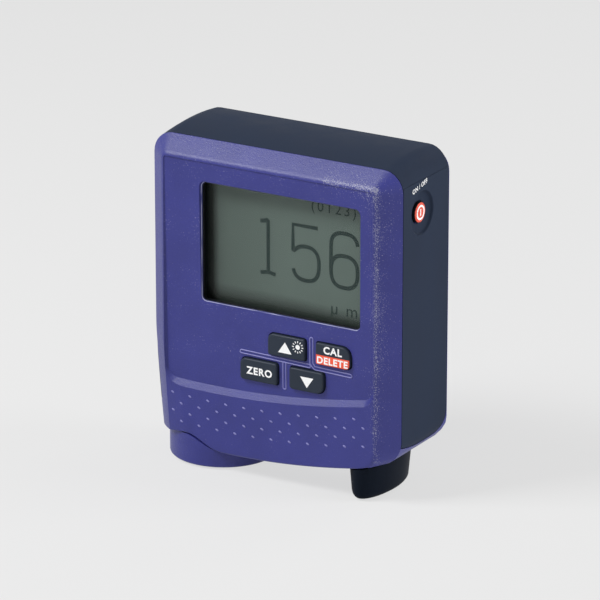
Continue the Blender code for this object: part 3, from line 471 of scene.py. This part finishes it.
def board_material(name):
    """A circuit board: green lacquer over copper tracks that run in straight lines."""
    material, tree, shader, place = new_material(name, {"Roughness": 0.35})
    settings = {"distance": "CHEBYCHEV", "feature": "F1", "Scale": 1 / (3.2 * MM)}
    cells = add_node(tree, "ShaderNodeTexVoronoi", settings, {"Vector": place})
    tracks = spread(tree, cells.outputs["Distance"], 0.36, 0.42, 0.0, 0.6)
    base = blend(tree, tracks, linear("#0f4a24"), linear("#2c7a3f"))
    tree.links.new(base, shader.inputs["Base Color"])
    bump(tree, shader, tracks, 0.04 * MM)
    return material


def jacket_material(name, body, collar, low, high):
    """A cell's printed foil jacket: one colour, with a collar of another near one end."""
    material = plated(name, body, 0.3, 1.5 * MM)
    tree, shader, plain, axes = reopened(material)
    above = spread(tree, axes[2], low - 0.05 * MM, low + 0.05 * MM, 0.0, 1.0)
    below = spread(tree, axes[2], high - 0.05 * MM, high + 0.05 * MM, 1.0, 0.0)
    share = combined(tree, "MULTIPLY", above, below)
    tree.links.new(blend(tree, share, plain, collar), shader.inputs["Base Color"])
    shader.inputs["Metallic"].default_value = 0.6
    return material


def floor_material(name, colour):
    """A pale studio floor: even to the camera, and still shaded by the gauge."""
    material = bpy.data.materials.new(name)
    material.use_nodes = True
    tree = material.node_tree
    tree.nodes.remove(tree.nodes["Principled BSDF"])
    output = tree.nodes["Material Output"]
    share = combined(tree, "MULTIPLY", seen_directly(tree), 0.8)
    matt = add_node(tree, "ShaderNodeBsdfDiffuse", {"Color": colour})
    even = add_node(tree, "ShaderNodeEmission", {"Color": colour, "Strength": 1.0})
    sources = {0: share, 1: matt.outputs[0], 2: even.outputs[0]}
    mix = add_node(tree, "ShaderNodeMixShader", links=sources)
    tree.links.new(mix.outputs[0], output.inputs["Surface"])
    return material


# Making pieces


def linked(name, data):
    """A new object in the scene."""
    made = bpy.data.objects.new(name, data)
    bpy.context.scene.collection.objects.link(made)
    return made


def object_of(bm, name):
    mesh = bpy.data.meshes.new(name)
    bm.to_mesh(mesh)
    bm.free()
    return linked(name, mesh)


def dress(piece, body, material, smooth=35, replaces=()):
    """Gives a piece its material, its shading and the body that it rides on."""
    mesh = piece.data
    mesh.materials.clear()
    mesh.materials.append(material)
    imported = mesh.attributes.get("custom_normal")
    if imported:
        mesh.attributes.remove(imported)
    bm = bmesh.new()
    bm.from_mesh(mesh)
    for face in bm.faces:
        face.smooth = True
    for line in bm.edges:
        line.smooth = (
            len(line.link_faces) == 2 and line.calc_face_angle() < math.radians(smooth)
        )
    bm.to_mesh(mesh)
    bm.free()
    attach(piece, body)
    if replaces:
        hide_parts(*replaces)


def even_normals(piece):
    """Large flat faces keep their own direction beside small round ones."""
    modifier = piece.modifiers.new("even normals", "WEIGHTED_NORMAL")
    modifier.keep_sharp = True
    modifier.weight = 80


def moulded_copy(node, name, edge=0.0, least=40, rounded=None):
    """A node's solid as one clean mesh with its sharp edges broken to a radius.

    Those are the edges that turn by more than least degrees. Where rounded is given, it
    tells from an edge's middle whether that edge is broken. The shortest edge beside
    them limits the radius everywhere.
    """
    bm = bmesh.new()
    bm.from_mesh(NODES[node].data)
    bmesh.ops.remove_doubles(bm, verts=bm.verts, dist=SOLID_WELD)
    bmesh.ops.dissolve_limit(
        bm, angle_limit=FLAT_ANGLE, verts=bm.verts, edges=bm.edges
    )
    if edge:
        weights = bm.edges.layers.float.new("bevel_weight_edge")
        for line in bm.edges:
            if len(line.link_faces) != 2:
                continue
            middle = (line.verts[0].co + line.verts[1].co) / 2
            sharp = line.calc_face_angle() > math.radians(least)
            if sharp and (not rounded or rounded(middle)):
                line[weights] = 1.0
    piece = object_of(bm, name)
    if edge:
        modifier = piece.modifiers.new("broken edges", "BEVEL")
        modifier.width = edge
        modifier.segments = 2
        modifier.limit_method = "WEIGHT"
        modifier.use_clamp_overlap = True
        modifier.miter_outer = "MITER_ARC"
        piece = baked(piece)
    split_outlines(piece)
    even_normals(piece)
    return piece


def split_outlines(piece):
    """Splits many-sided faces, since one that runs round a hole would fill it."""
    bm = bmesh.new()
    bm.from_mesh(piece.data)
    bmesh.ops.remove_doubles(bm, verts=bm.verts, dist=PIECE_WELD)
    many = [face for face in bm.faces if len(face.verts) > 4]
    bmesh.ops.triangulate(bm, faces=many)
    bm.to_mesh(piece.data)
    bm.free()


def baked(piece):
    """Applies what shapes a piece, so that its mesh holds its final form and place."""
    bpy.context.view_layer.update()
    graph = bpy.context.evaluated_depsgraph_get()
    mesh = bpy.data.meshes.new_from_object(piece.evaluated_get(graph))
    mesh.transform(piece.matrix_world)
    mesh.name = piece.name
    name = piece.name
    made = linked(name + "_made", mesh)
    bpy.data.objects.remove(piece)
    made.name = name
    return made


FACING_FRONT = Matrix.Rotation(math.radians(90), 4, "X")
FACING_RIGHT = Matrix.Rotation(math.radians(90), 4, "Z") @ FACING_FRONT


def lettering(
    name, text, height, weight, turn, centre, spacing, thick=PRINT_THICKNESS
):
    """Printed characters centred on a point; weight thickens their strokes."""
    curve = bpy.data.curves.new(name, "FONT")
    curve.body = text
    curve.size = height / CAPITAL_SHARE
    curve.offset = weight
    curve.space_character = spacing
    curve.align_x = "CENTER"
    curve.align_y = "CENTER"
    curve.extrude = thick / 2
    curve.resolution_u = 4
    piece = baked(linked(name, curve))
    low = Vector(min(v.co[i] for v in piece.data.vertices) for i in range(3))
    high = Vector(max(v.co[i] for v in piece.data.vertices) for i in range(3))
    piece.data.transform(Matrix.Translation(-(low + high) / 2))
    piece.data.transform(Matrix.Translation(centre) @ turn)
    return piece


def disc(bm, sides, radius):
    """A print with even sides round the origin, flat in x and y."""
    bmesh.ops.create_cone(
        bm,
        cap_ends=True,
        segments=sides,
        radius1=radius,
        radius2=radius,
        depth=PRINT_THICKNESS,
    )


def stroke_piece(name, lines, width, turn, centre, thick=SEGMENT_THICKNESS):
    """Flat round-ended strokes along lines of (x, y) points, in metres."""
    curve = bpy.data.curves.new(name, "CURVE")
    curve.dimensions = "3D"
    curve.bevel_depth = width / 2
    curve.bevel_resolution = 2
    curve.use_fill_caps = True
    for points in lines:
        line = curve.splines.new("POLY")
        line.points.add(len(points) - 1)
        for spot, (x, y) in zip(line.points, points):
            spot.co = (x, y, 0, 1)
    piece = baked(linked(name, curve))
    flat = Matrix.Diagonal((1, 1, thick / width, 1))
    piece.data.transform(Matrix.Translation(centre) @ turn @ flat)
    return piece


def bow(centre, across, up, start, end, steps=14, square=1.0):
    """Points on an upright oval from one angle to another, in degrees.

    A square share under 1 flattens the oval's sides.
    """
    points = []
    for i in range(steps + 1):
        t = math.radians(start + (end - start) * i / steps)
        x, z = (math.copysign(abs(v) ** square, v) for v in (math.cos(t), math.sin(t)))
        points.append((centre[0] + across * x, centre[1] + up * z))
    return points


def round_ended(run, half):
    """The outline of a strip of an even width along a run of points, with round ends."""
    spots = [Vector(spot) for spot in run]
    sides = ([], [])
    for i, spot in enumerate(spots):
        before = spots[max(i - 1, 0)]
        after = spots[min(i + 1, len(spots) - 1)]
        way = (after - before).normalized()
        across = Vector((-way.y, way.x)) * half
        sides[0].append(spot + across)
        sides[1].append(spot - across)
    ends = []
    for spot, other in ((spots[-1], spots[-2]), (spots[0], spots[1])):
        way = math.degrees(math.atan2(spot.y - other.y, spot.x - other.x))
        ends.append([Vector(p) for p in bow(spot, half, half, way + 90, way - 90, 8)])
    outline = sides[0] + ends[0][1:-1] + sides[1][::-1] + ends[1][1:-1]
    return [(p.x, p.y) for p in outline]


def surface(node):
    """A node's solid as a tree that rays can strike."""
    bm = bmesh.new()
    bm.from_mesh(NODES[node].data)
    tree = BVHTree.FromBMesh(bm)
    bm.free()
    return tree


def struck(tree, start, way):
    """Where a ray first meets a surface, and which way the surface faces there."""
    spot, normal = tree.ray_cast(start, way)[:2]
    if spot is None:
        raise RuntimeError(f"nothing lies beyond {start}")
    return spot, normal


def laid_on(piece, node, way):
    """Lets a flat print follow the surface that it is printed on."""
    tree = surface(node)
    vertices = piece.data.vertices
    level = sum(vertex.co.dot(way) for vertex in vertices) / len(vertices)
    for vertex in vertices:
        spot = struck(tree, vertex.co - way * 20 * MM, way)[0]
        vertex.co += way * (spot.dot(way) - level)


def centre_of(node):
    low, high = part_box(node)
    return (low + high) / 2


# Operators, one for each piece or group of like pieces


class GaugeOperator:
    bl_options = {"REGISTER", "UNDO"}

    @property
    def sizes(self):
        return bpy.context.scene.gauge_sizes

    @property
    def colours(self):
        return bpy.context.scene.gauge_colours

    @property
    def rim(self):
        """The radius that breaks the rim of an opening or a dish."""
        return self.sizes.edge / EDGE_SHARE_OF_RIM


class GAUGE_OT_shells(GaugeOperator, bpy.types.Operator):
    """Dress the front and the rear shell in grained purple-blue plastic"""

    bl_idname = "gauge.shells"
    bl_label = "Shells"

    def execute(self, context):
        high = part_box("front_shell")[1]
        # Where the front face ends and the right and the top chamfer begin
        side, top = high.x - 5.7 * MM, high.z - 4.6 * MM
        creases = ((0, side, 2, 12 * MM, top), (2, top, 0, 18 * MM, side))
        x0, x1, z0, z1 = OPENING

        def round_opening(spot):
            return (
                spot.y < OPENING_RIM_Y
                and x0 - MM < spot.x < x1 + MM
                and z0 - MM < spot.z < z1 + MM
            )

        colour, grain = self.colours.case[:], self.sizes.grain
        front = eroded_abs("eroded_abs_purple_front", colour, grain, creases, OPENING)
        plain = eroded_abs("eroded_abs_purple", colour, grain)
        shell = moulded_copy("front_shell", "shell_front", self.rim, 40, round_opening)
        dress(shell, "case", front, SHELL_SMOOTH, ("front_shell",))
        rear = moulded_copy("rear_shell", "shell_rear", self.sizes.edge)
        dress(rear, "case", plain, SHELL_SMOOTH, ("rear_shell",))
        return {"FINISHED"}


class GAUGE_OT_side_band(GaugeOperator, bpy.types.Operator):
    """Dress the band over the top and both sides, and print the switch's positions"""

    bl_idname = "gauge.side_band"
    bl_label = "Side band"

    def execute(self, context):
        slate = satin_abs("satin_abs_slate", self.colours.band[:], 0.5, gloss=0.02)
        dish = Vector((0, 0, centre_of("power_button").z))

        def round_dish(spot):
            return (Vector((0, spot.y, spot.z)) - dish).length < DISH_REACH

        band = moulded_copy("side_band", "band", self.rim, 30, round_dish)
        dress(band, "case", slate, replaces=("side_band",))
        ink = print_ink("ink_white", self.colours.legend[:])
        words = lettering(
            "switch_legend",
            "ON / OFF",
            1.35 * MM,
            0.03 * MM,
            Matrix.Rotation(math.radians(11), 4, "X") @ FACING_RIGHT,
            Vector((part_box("side_band")[1].x, -1.35 * MM, 91.6 * MM)),
            1.05,
        )
        laid_on(words, "side_band", Vector((-1, 0, 0)))
        dress(words, "case", ink)
        return {"FINISHED"}


class GAUGE_OT_grip(GaugeOperator, bpy.types.Operator):
    """Raise four staggered rows of pips on the grip area under the ridge"""

    bl_idname = "gauge.grip"
    bl_label = "Grip pips"
    ROWS = 4
    LEFT, TOP = -32.45 * MM, 20.75 * MM
    # The rows bow with the ridge above them: its lowest point's x, and its radius
    BOW_X, BOW_RADIUS = -16.3 * MM, 263 * MM
    SLANT = Matrix.Rotation(math.radians(24), 4, "Y")
    PLUMPNESS = 0.52

    def execute(self, context):
        sizes = self.sizes
        shell = surface("front_shell")
        half = sizes.pip_length / 2
        scale = Matrix.Diagonal((half, sizes.pip_height, half * self.PLUMPNESS, 1))
        bm = bmesh.new()
        for row in range(self.ROWS):
            for i in range(sizes.pips_per_row):
                x = self.LEFT + sizes.pip_pitch * (i + 0.5 * (row % 2))
                rise = (x - self.BOW_X) ** 2 / (2 * self.BOW_RADIUS)
                z = self.TOP - sizes.pip_row * row + rise
                spot, normal = struck(shell, Vector((x, IN_FRONT, z)), BACKWARDS)
                lean = (-BACKWARDS).rotation_difference(normal).to_matrix().to_4x4()
                shape = Matrix.Translation(spot) @ lean @ self.SLANT @ scale
                bmesh.ops.create_icosphere(bm, subdivisions=2, radius=1, matrix=shape)
        pips = object_of(bm, "grip_pips")
        # A paler purple than the case, painted as the highlight that the pips catch
        highlight_pale = satin_abs("pale_highlight_abs_purple", linear("#7c7cb4"), 0.35, gloss=0.3)
        dress(pips, "case", highlight_pale, ROUND_SMOOTH)
        return {"FINISHED"}


class GAUGE_OT_ribs(GaugeOperator, bpy.types.Operator):
    """Raise the low ribs between the keys"""

    bl_idname = "gauge.ribs"
    bl_label = "Ribs between the keys"

    def execute(self, context):
        up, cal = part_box("key_up"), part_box("key_cal")
        zero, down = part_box("key_zero"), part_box("key_down")
        middle = (up[0].z + zero[1].z) / 2
        upright = (up[1].x + cal[0].x) / 2
        lower = (zero[1].x + down[0].x) / 2
        half = self.sizes.rib_width / 2
        runs = (
            [(zero[0].x + MM, middle + 0.3 * MM), (up[1].x, middle - 0.1 * MM)],
            [
                (upright, up[1].z - half),
                (upright, middle - 0.2 * MM + 2 * half),
                (upright + 0.4 * MM, middle - 0.2 * MM + half),
                (upright + 2 * half, middle - 0.4 * MM),
                (cal[1].x - 1.2 * MM, middle - 0.6 * MM),
            ],
            [(lower, zero[1].z - half), (lower, zero[0].z + half)],
        )
        shell = surface("front_shell")
        outlines = [round_ended(run, half) for run in runs]
        ribs = stroke_piece(
            "key_ribs",
            [line + line[:1] for line in outlines],
            0.36 * MM,
            FACING_FRONT,
            Vector(),
            self.sizes.rib_height * 2,
        )
        # The front face leans, so the ribs follow the line between two spots on it
        high, low = (
            struck(shell, Vector((-30 * MM, IN_FRONT, z * MM)), BACKWARDS)[0]
            for z in (85, 35)
        )
        for vertex in ribs.data.vertices:
            share = (vertex.co.z - low.z) / (high.z - low.z)
            vertex.co.y += low.y + (high.y - low.y) * share
        # The ribs take the same paler purple, painted as their highlight
        highlight_pale = bpy.data.materials["pale_highlight_abs_purple"]
        dress(ribs, "case", highlight_pale, ROUND_SMOOTH)
        return {"FINISHED"}


class GAUGE_OT_display(GaugeOperator, bpy.types.Operator):
    """Dress the display and draw its reading, its unit and its small text"""

    bl_idname = "gauge.display"
    bl_label = "Display"
    # The large digits' left side, the steps between them, and their lower ends' level
    LEFT, DIGIT_PITCH, DIGIT_FOOT = -7.1 * MM, 12.6 * MM, 61.3 * MM

    def digit_lines(self, character):
        """Strokes of a digit in a box 0.54 wide and 1 high, from its lower left."""
        if character == "1":
            stem = [(0.28, 0.01), (0.28, 0.99)]
            foot = [(0.12, 0.0), (0.26, 0.025), (0.3, 0.025), (0.43, 0.0)]
            return [stem, [(0.28, 0.99), (0.2, 0.955), (0.12, 0.945)], foot]
        if character == "5":
            hook = bow((0.27, 0.31), 0.265, 0.31, 125, -162, 26, 0.78)
            return [[(0.51, 0.99), (0.01, 0.99), (0.01, 0.5)], [(0.01, 0.5)] + hook]
        if character == "6":
            bowl = bow((0.27, 0.29), 0.265, 0.29, 0, 360, 36, 0.78)
            back = bow((0.27, 0.74), 0.265, 0.25, 180, 8, 20, 0.78)
            return [bowl, [(0, 0.28)] + back]
        raise RuntimeError(f"there is no digit for {character}")

    def execute(self, context):
        sizes, colours = self.sizes, self.colours
        cell = moulded_copy("lcd_cell", "display_cell", 0.2 * MM)
        glass = liquid_crystal("liquid_crystal_cell", colours.display[:])
        dress(cell, "case", glass, replaces=("lcd_cell",))
        lens = moulded_copy("lcd_window", "display_window", 0.1 * MM)
        clear = clear_acrylic("clear_acrylic")
        dress(lens, "case", clear, replaces=("lcd_window",))
        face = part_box("lcd_cell")[0].y - SEGMENT_THICKNESS
        dark = print_ink("driven_segment", colours.digit[:])
        high = sizes.digit_height
        for i, character in enumerate(colours.reading):
            lines = [
                [(x * high, z * high) for x, z in line]
                for line in self.digit_lines(character)
            ]
            corner = Vector((self.LEFT + self.DIGIT_PITCH * i, face, self.DIGIT_FOOT))
            digit = stroke_piece(
                f"digit_{i + 1}", lines, sizes.stroke, FACING_FRONT, corner
            )
            dress(digit, "case", dark)
        for name, text, height, x, z, spacing in (
            ("display_unit", "μ m", 3.7, 22.5, 53.7, 1.15),
            ("display_text", "(0123)", 3.1, 19.0, 83.7, 1.3),
        ):
            words = lettering(
                name,
                text,
                height * MM,
                0.0,
                FACING_FRONT,
                Vector((x * MM, face, z * MM)),
                spacing,
                SEGMENT_THICKNESS,
            )
            dress(words, "case", dark)
        holder = moulded_copy("lcd_holder", "display_holder", 0.2 * MM)
        white = satin_abs("satin_abs_white", linear("#dcdcd8"), 0.5, 0.03)
        dress(holder, "case", white, replaces=("lcd_holder",))
        return {"FINISHED"}


class GAUGE_OT_keys(GaugeOperator, bpy.types.Operator):
    """Dress the four keys and print their legends"""

    bl_idname = "gauge.keys"
    bl_label = "Keys"
    RAYS = 12

    def arrow(self, name, centre, size, way):
        """A triangle that points up or down."""
        bm = bmesh.new()
        disc(bm, 3, size)
        flat = Matrix.Diagonal((1.0, 0.84, 1.0, 1.0))
        turn = Matrix.Rotation(0 if way == "up" else math.pi, 4, "Y")
        shape = Matrix.Translation(centre) @ turn @ FACING_FRONT @ flat
        bmesh.ops.transform(bm, matrix=shape, verts=bm.verts)
        return object_of(bm, name)

    def sun(self, name, centre, radius):
        """A disc with short rays."""
        bm = bmesh.new()
        disc(bm, 24, radius * 0.4)
        for i in range(self.RAYS):
            ray = bmesh.ops.create_cube(bm, size=1)
            shape = (
                Matrix.Rotation(math.tau * i / self.RAYS, 4, "Z")
                @ Matrix.Translation((radius * 0.86, 0, 0))
                @ Matrix.Diagonal((radius * 0.32, radius * 0.15, PRINT_THICKNESS, 1))
            )
            bmesh.ops.transform(bm, matrix=shape, verts=ray["verts"])
        shape = Matrix.Translation(centre) @ FACING_FRONT
        bmesh.ops.transform(bm, matrix=shape, verts=bm.verts)
        return object_of(bm, name)

    def execute(self, context):
        colours, high = self.colours, self.sizes.legend_height
        plain = satin_abs("satin_key_plastic", colours.key[:], 0.42, gloss=0.2)
        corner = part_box("key_cal")[0]
        face, strip_top = corner.y, corner.z + 3.95 * MM
        striped = printed_key(
            "printed_key_plastic", colours.key[:], colours.strip[:], strip_top, face
        )
        for node in ("key_up", "key_zero", "key_cal", "key_down"):
            piece = moulded_copy(node, node.replace("key", "cap"), 0.2 * MM)
            material = striped if node == "key_cal" else plain
            dress(piece, node, material, replaces=(node,))
        ink = bpy.data.materials["ink_white"]
        face -= 0.01 * MM

        def at(node, across, up):
            centre = centre_of(node)
            return Vector((centre.x + across * MM, face, centre.z + up * MM))

        marks = [
            (self.arrow("mark_up", at("key_up", -0.35, -0.75), 2.6 * MM, "up"), "key_up"),
            (self.sun("mark_light", at("key_up", 3.9, 0.75), 1.8 * MM), "key_up"),
            (
                self.arrow("mark_down", at("key_down", 0.3, 0.15), 2.5 * MM, "down"),
                "key_down",
            ),
        ]
        for text, node, height, weight, across, up, spacing in (
            ("ZERO", "key_zero", high, 0.1, 0.35, -0.1, 1.16),
            ("CAL", "key_cal", high, 0.1, 0.1, 1.5, 1.14),
            ("DELETE", "key_cal", high * 0.93, 0.09, 0.0, -1.7, 1.12),
        ):
            words = lettering(
                "mark_" + text.lower(),
                text,
                height,
                weight * MM,
                FACING_FRONT,
                at(node, across, up),
                spacing,
            )
            marks.append((words, node))
        for mark, body in marks:
            dress(mark, body, ink)
        return {"FINISHED"}


class GAUGE_OT_power_button(GaugeOperator, bpy.types.Operator):
    """Dress the power button and print its ring and bar"""

    bl_idname = "gauge.power_button"
    bl_label = "Power button"
    RING = (1.6 * MM, 2.2 * MM)
    BAR = (0.5 * MM, 2.0 * MM)
    # A face whose corners are all nearer than this to y = 0 lies in that plane
    FLAT = 1e-9

    def execute(self, context):
        spot = centre_of("power_button")
        spot.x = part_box("power_button")[1].x
        red = red_faced_cap(
            "red_faced_black_cap", linear("#14181d"), self.colours.button[:], spot.x
        )
        cap = moulded_copy("power_button", "power_cap")
        dress(cap, "power_button", red, replaces=("power_button",))
        bm = bmesh.new()
        inner, outer = self.RING
        corners = [
            (inner, 0),
            (outer, 0),
            (outer, PRINT_THICKNESS),
            (inner, PRINT_THICKNESS),
        ]
        section = bm.faces.new([bm.verts.new((x, 0, z)) for x, z in corners])
        bmesh.ops.spin(
            bm,
            geom=[section, *section.edges, *section.verts],
            cent=(0, 0, 0),
            axis=(0, 0, 1),
            angle=math.tau,
            steps=48,
            use_merge=True,
            use_duplicate=False,
        )
        # The spun section itself stays behind inside the ring
        inside = [
            face for face in bm.faces if all(abs(v.co.y) < self.FLAT for v in face.verts)
        ]
        bmesh.ops.delete(bm, geom=inside, context="FACES_ONLY")
        bar = bmesh.ops.create_cube(bm, size=1)
        shape = Matrix.Translation((0, 0, PRINT_THICKNESS / 2))
        shape @= Matrix.Diagonal((*self.BAR, PRINT_THICKNESS, 1))
        bmesh.ops.transform(bm, matrix=shape, verts=bar["verts"])
        shape = Matrix.Translation(spot) @ FACING_RIGHT
        bmesh.ops.transform(bm, matrix=shape, verts=bm.verts)
        bmesh.ops.recalc_face_normals(bm, faces=bm.faces)
        mark = object_of(bm, "power_mark")
        dress(mark, "power_button", bpy.data.materials["ink_white"])
        return {"FINISHED"}


class GAUGE_OT_foot(GaugeOperator, bpy.types.Operator):
    """Dress the support foot"""

    bl_idname = "gauge.foot"
    bl_label = "Support foot"

    def execute(self, context):
        black = satin_abs("satin_abs_black", self.colours.foot[:], 0.5, 0.05, 0.04)
        foot = moulded_copy("support_foot", "foot", 0.1 * MM)
        dress(foot, "case", black, replaces=("support_foot",))
        return {"FINISHED"}


class GAUGE_OT_probe(GaugeOperator, bpy.types.Operator):
    """Dress the probe in the large cylinder"""

    bl_idname = "gauge.probe"
    bl_label = "Probe"

    def execute(self, context):
        black = bpy.data.materials["satin_abs_black"]
        brass = plated("turned_brass", linear("#c9a35a"), 0.3, 0.6 * MM)
        steel = plated("zinc_plated_steel", linear("#b9bcc0"), 0.32, 0.5 * MM)
        hard = plated("polished_hard_steel", linear("#d3d5d8"), 0.12, 0.4 * MM)
        copper = wound_copper("enamelled_copper", linear("#b5623a"))
        finishes = {
            "probe_base": black,
            "probe_cap": black,
            "probe_sleeve": brass,
            "probe_coil": copper,
            "probe_plunger": hard,
            "probe_spring": steel,
            "probe_connector": bpy.data.materials["satin_abs_white"],
        }
        for node, material in finishes.items():
            body = "probe_plunger" if node == "probe_plunger" else "case"
            piece = moulded_copy(node, node.replace("probe", "sensor"))
            dress(piece, body, material, replaces=(node,))
        return {"FINISHED"}


class GAUGE_OT_back(GaugeOperator, bpy.types.Operator):
    """Dress the battery cover, the cells, their contacts and the screws"""

    bl_idname = "gauge.back"
    bl_label = "Battery compartment and screws"
    # Where a cell's collar begins and ends, from the cell's end
    COLLAR = (1.2 * MM, 12 * MM)

    def execute(self, context):
        grained = bpy.data.materials["eroded_abs_purple"]
        cover = moulded_copy("battery_cover", "cover", self.sizes.edge)
        name = "battery_cover"
        dress(cover, name, grained, replaces=(name,))
        steel = bpy.data.materials["zinc_plated_steel"]
        low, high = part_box("cell_1")
        near, far = self.COLLAR
        # The cells lie head to foot, so every second collar is at the lower end
        for index in range(1, 5):
            collar = (high.z - far, high.z - near)
            if index % 2 == 0:
                collar = (low.z + near, low.z + far)
            jacket = jacket_material(
                f"cell_jacket_{index}", linear("#3a3d42"), linear("#b3874a"), *collar
            )
            cell = moulded_copy(f"cell_{index}", f"battery_{index}")
            dress(cell, "case", jacket, replaces=(f"cell_{index}",))
        names = ["contact_low", "contact_high", "foot_screw"]
        names += [f"case_screw_{i}" for i in range(1, 5)]
        for node in names:
            piece = moulded_copy(node, "metal_" + node, 0.08 * MM)
            dress(piece, "case", steel, replaces=(node,))
        return {"FINISHED"}


class GAUGE_OT_inside(GaugeOperator, bpy.types.Operator):
    """Dress the board and what is mounted on it"""

    bl_idname = "gauge.inside"
    bl_label = "Board"

    def execute(self, context):
        board = board_material("lacquered_board")
        chip = satin_abs("epoxy_black", linear("#1d1d1f"), 0.55, 0.05)
        rubber = satin_abs("silicone_grey", linear("#85868a"), 0.75, 0.04)
        for node, material in (
            ("main_board", board),
            ("main_chip", chip),
            ("buzzer", chip),
            ("power_switch", chip),
            ("key_mat", rubber),
        ):
            data = NODES[node].data
            data.materials.clear()
            data.materials.append(material)
        return {"FINISHED"}


class GAUGE_OT_stage(GaugeOperator, bpy.types.Operator):
    """Set the floor, the lamps, the surroundings and the camera"""

    bl_idname = "gauge.stage"
    bl_label = "Studio"

    def lamp(self, name, place, target, size, power):
        data = bpy.data.lights.new(name, "AREA")
        data.shape = "SQUARE"
        data.size = size
        data.energy = power
        lamp = linked(name, data)
        lamp.location = place
        lamp.rotation_euler = (target - place).to_track_quat("-Z", "Y").to_euler()

    def execute(self, context):
        scene = bpy.context.scene
        bm = bmesh.new()
        bmesh.ops.create_grid(bm, x_segments=1, y_segments=1, size=4)
        floor = object_of(bm, "studio_floor")
        # A little lower than the undersides, so that it doesn't share their plane
        floor.location.z = -0.5 * MM
        floor.data.materials.append(floor_material("pale_floor", self.colours.floor[:]))

        world = bpy.data.worlds.new("studio")
        scene.world = world
        world.use_nodes = True
        tree = world.node_tree
        sources = {0: seen_directly(tree)}
        for i, colour, strength in (
            (1, (1.0, 1.0, 1.0, 1.0), 0.24),
            (2, self.colours.floor[:], 1.0),
        ):
            settings = {"Color": colour, "Strength": strength}
            sources[i] = add_node(tree, "ShaderNodeBackground", settings).outputs[0]
        mix = add_node(tree, "ShaderNodeMixShader", links=sources)
        tree.links.new(mix.outputs[0], tree.nodes["World Output"].inputs["Surface"])

        target = Vector((0, 0, 50 * MM))
        for name, place, size, power in (
            ("lamp_key", (-0.45, -0.46, 0.74), 0.35, 8.6),
            ("lamp_front", (0.3, -0.5, 0.15), 0.25, 0.32),
            ("lamp_right", (0.9, 0.42, 0.3), 0.5, 7.4),
            ("lamp_back", (0.28, 0.85, 0.5), 0.35, 1.3),
        ):
            self.lamp(name, Vector(place), target, size, power)

        data = bpy.data.cameras.new("camera")
        data.lens = 276
        data.sensor_width = 36
        camera = linked("camera", data)
        turn, rise, far = math.radians(31), math.radians(19), 1.318
        aim = Vector((1.1 * MM, 0, 50.6 * MM))
        back = Vector(
            (
                math.sin(turn) * math.cos(rise),
                -math.cos(turn) * math.cos(rise),
                math.sin(rise),
            )
        )
        camera.location = aim + back * far
        camera.rotation_euler = (-back).to_track_quat("-Z", "Y").to_euler()
        scene.camera = camera
        scene.view_settings.view_transform = "Standard"
        return {"FINISHED"}


OPERATORS = (
    GAUGE_OT_shells,
    GAUGE_OT_side_band,
    GAUGE_OT_grip,
    GAUGE_OT_ribs,
    GAUGE_OT_display,
    GAUGE_OT_keys,
    GAUGE_OT_power_button,
    GAUGE_OT_foot,
    GAUGE_OT_probe,
    GAUGE_OT_back,
    GAUGE_OT_inside,
    GAUGE_OT_stage,
)


class GAUGE_PT_panel(bpy.types.Panel):
    """Buttons for each group of pieces, with their sizes and colours"""

    bl_idname = "GAUGE_PT_panel"
    bl_label = "Coating thickness gauge"
    bl_space_type = "VIEW_3D"
    bl_region_type = "UI"
    bl_category = "Gauge"

    def draw(self, context):
        for group in (context.scene.gauge_sizes, context.scene.gauge_colours):
            column = self.layout.column()
            for name in group.__annotations__:
                column.prop(group, name)
        for operator in OPERATORS:
            self.layout.operator(operator.bl_idname)


CLASSES = (GaugeSizes, GaugeColours, *OPERATORS, GAUGE_PT_panel)


def register():
    for cls in CLASSES:
        bpy.utils.register_class(cls)
    bpy.types.Scene.gauge_sizes = PointerProperty(type=GaugeSizes)
    bpy.types.Scene.gauge_colours = PointerProperty(type=GaugeColours)


def unregister():
    del bpy.types.Scene.gauge_colours
    del bpy.types.Scene.gauge_sizes
    for cls in reversed(CLASSES):
        bpy.utils.unregister_class(cls)


def main():
    register()
    for operator in OPERATORS:
        group, name = operator.bl_idname.split(".")
        getattr(getattr(bpy.ops, group), name)()


if __name__ == "__main__":
    main()
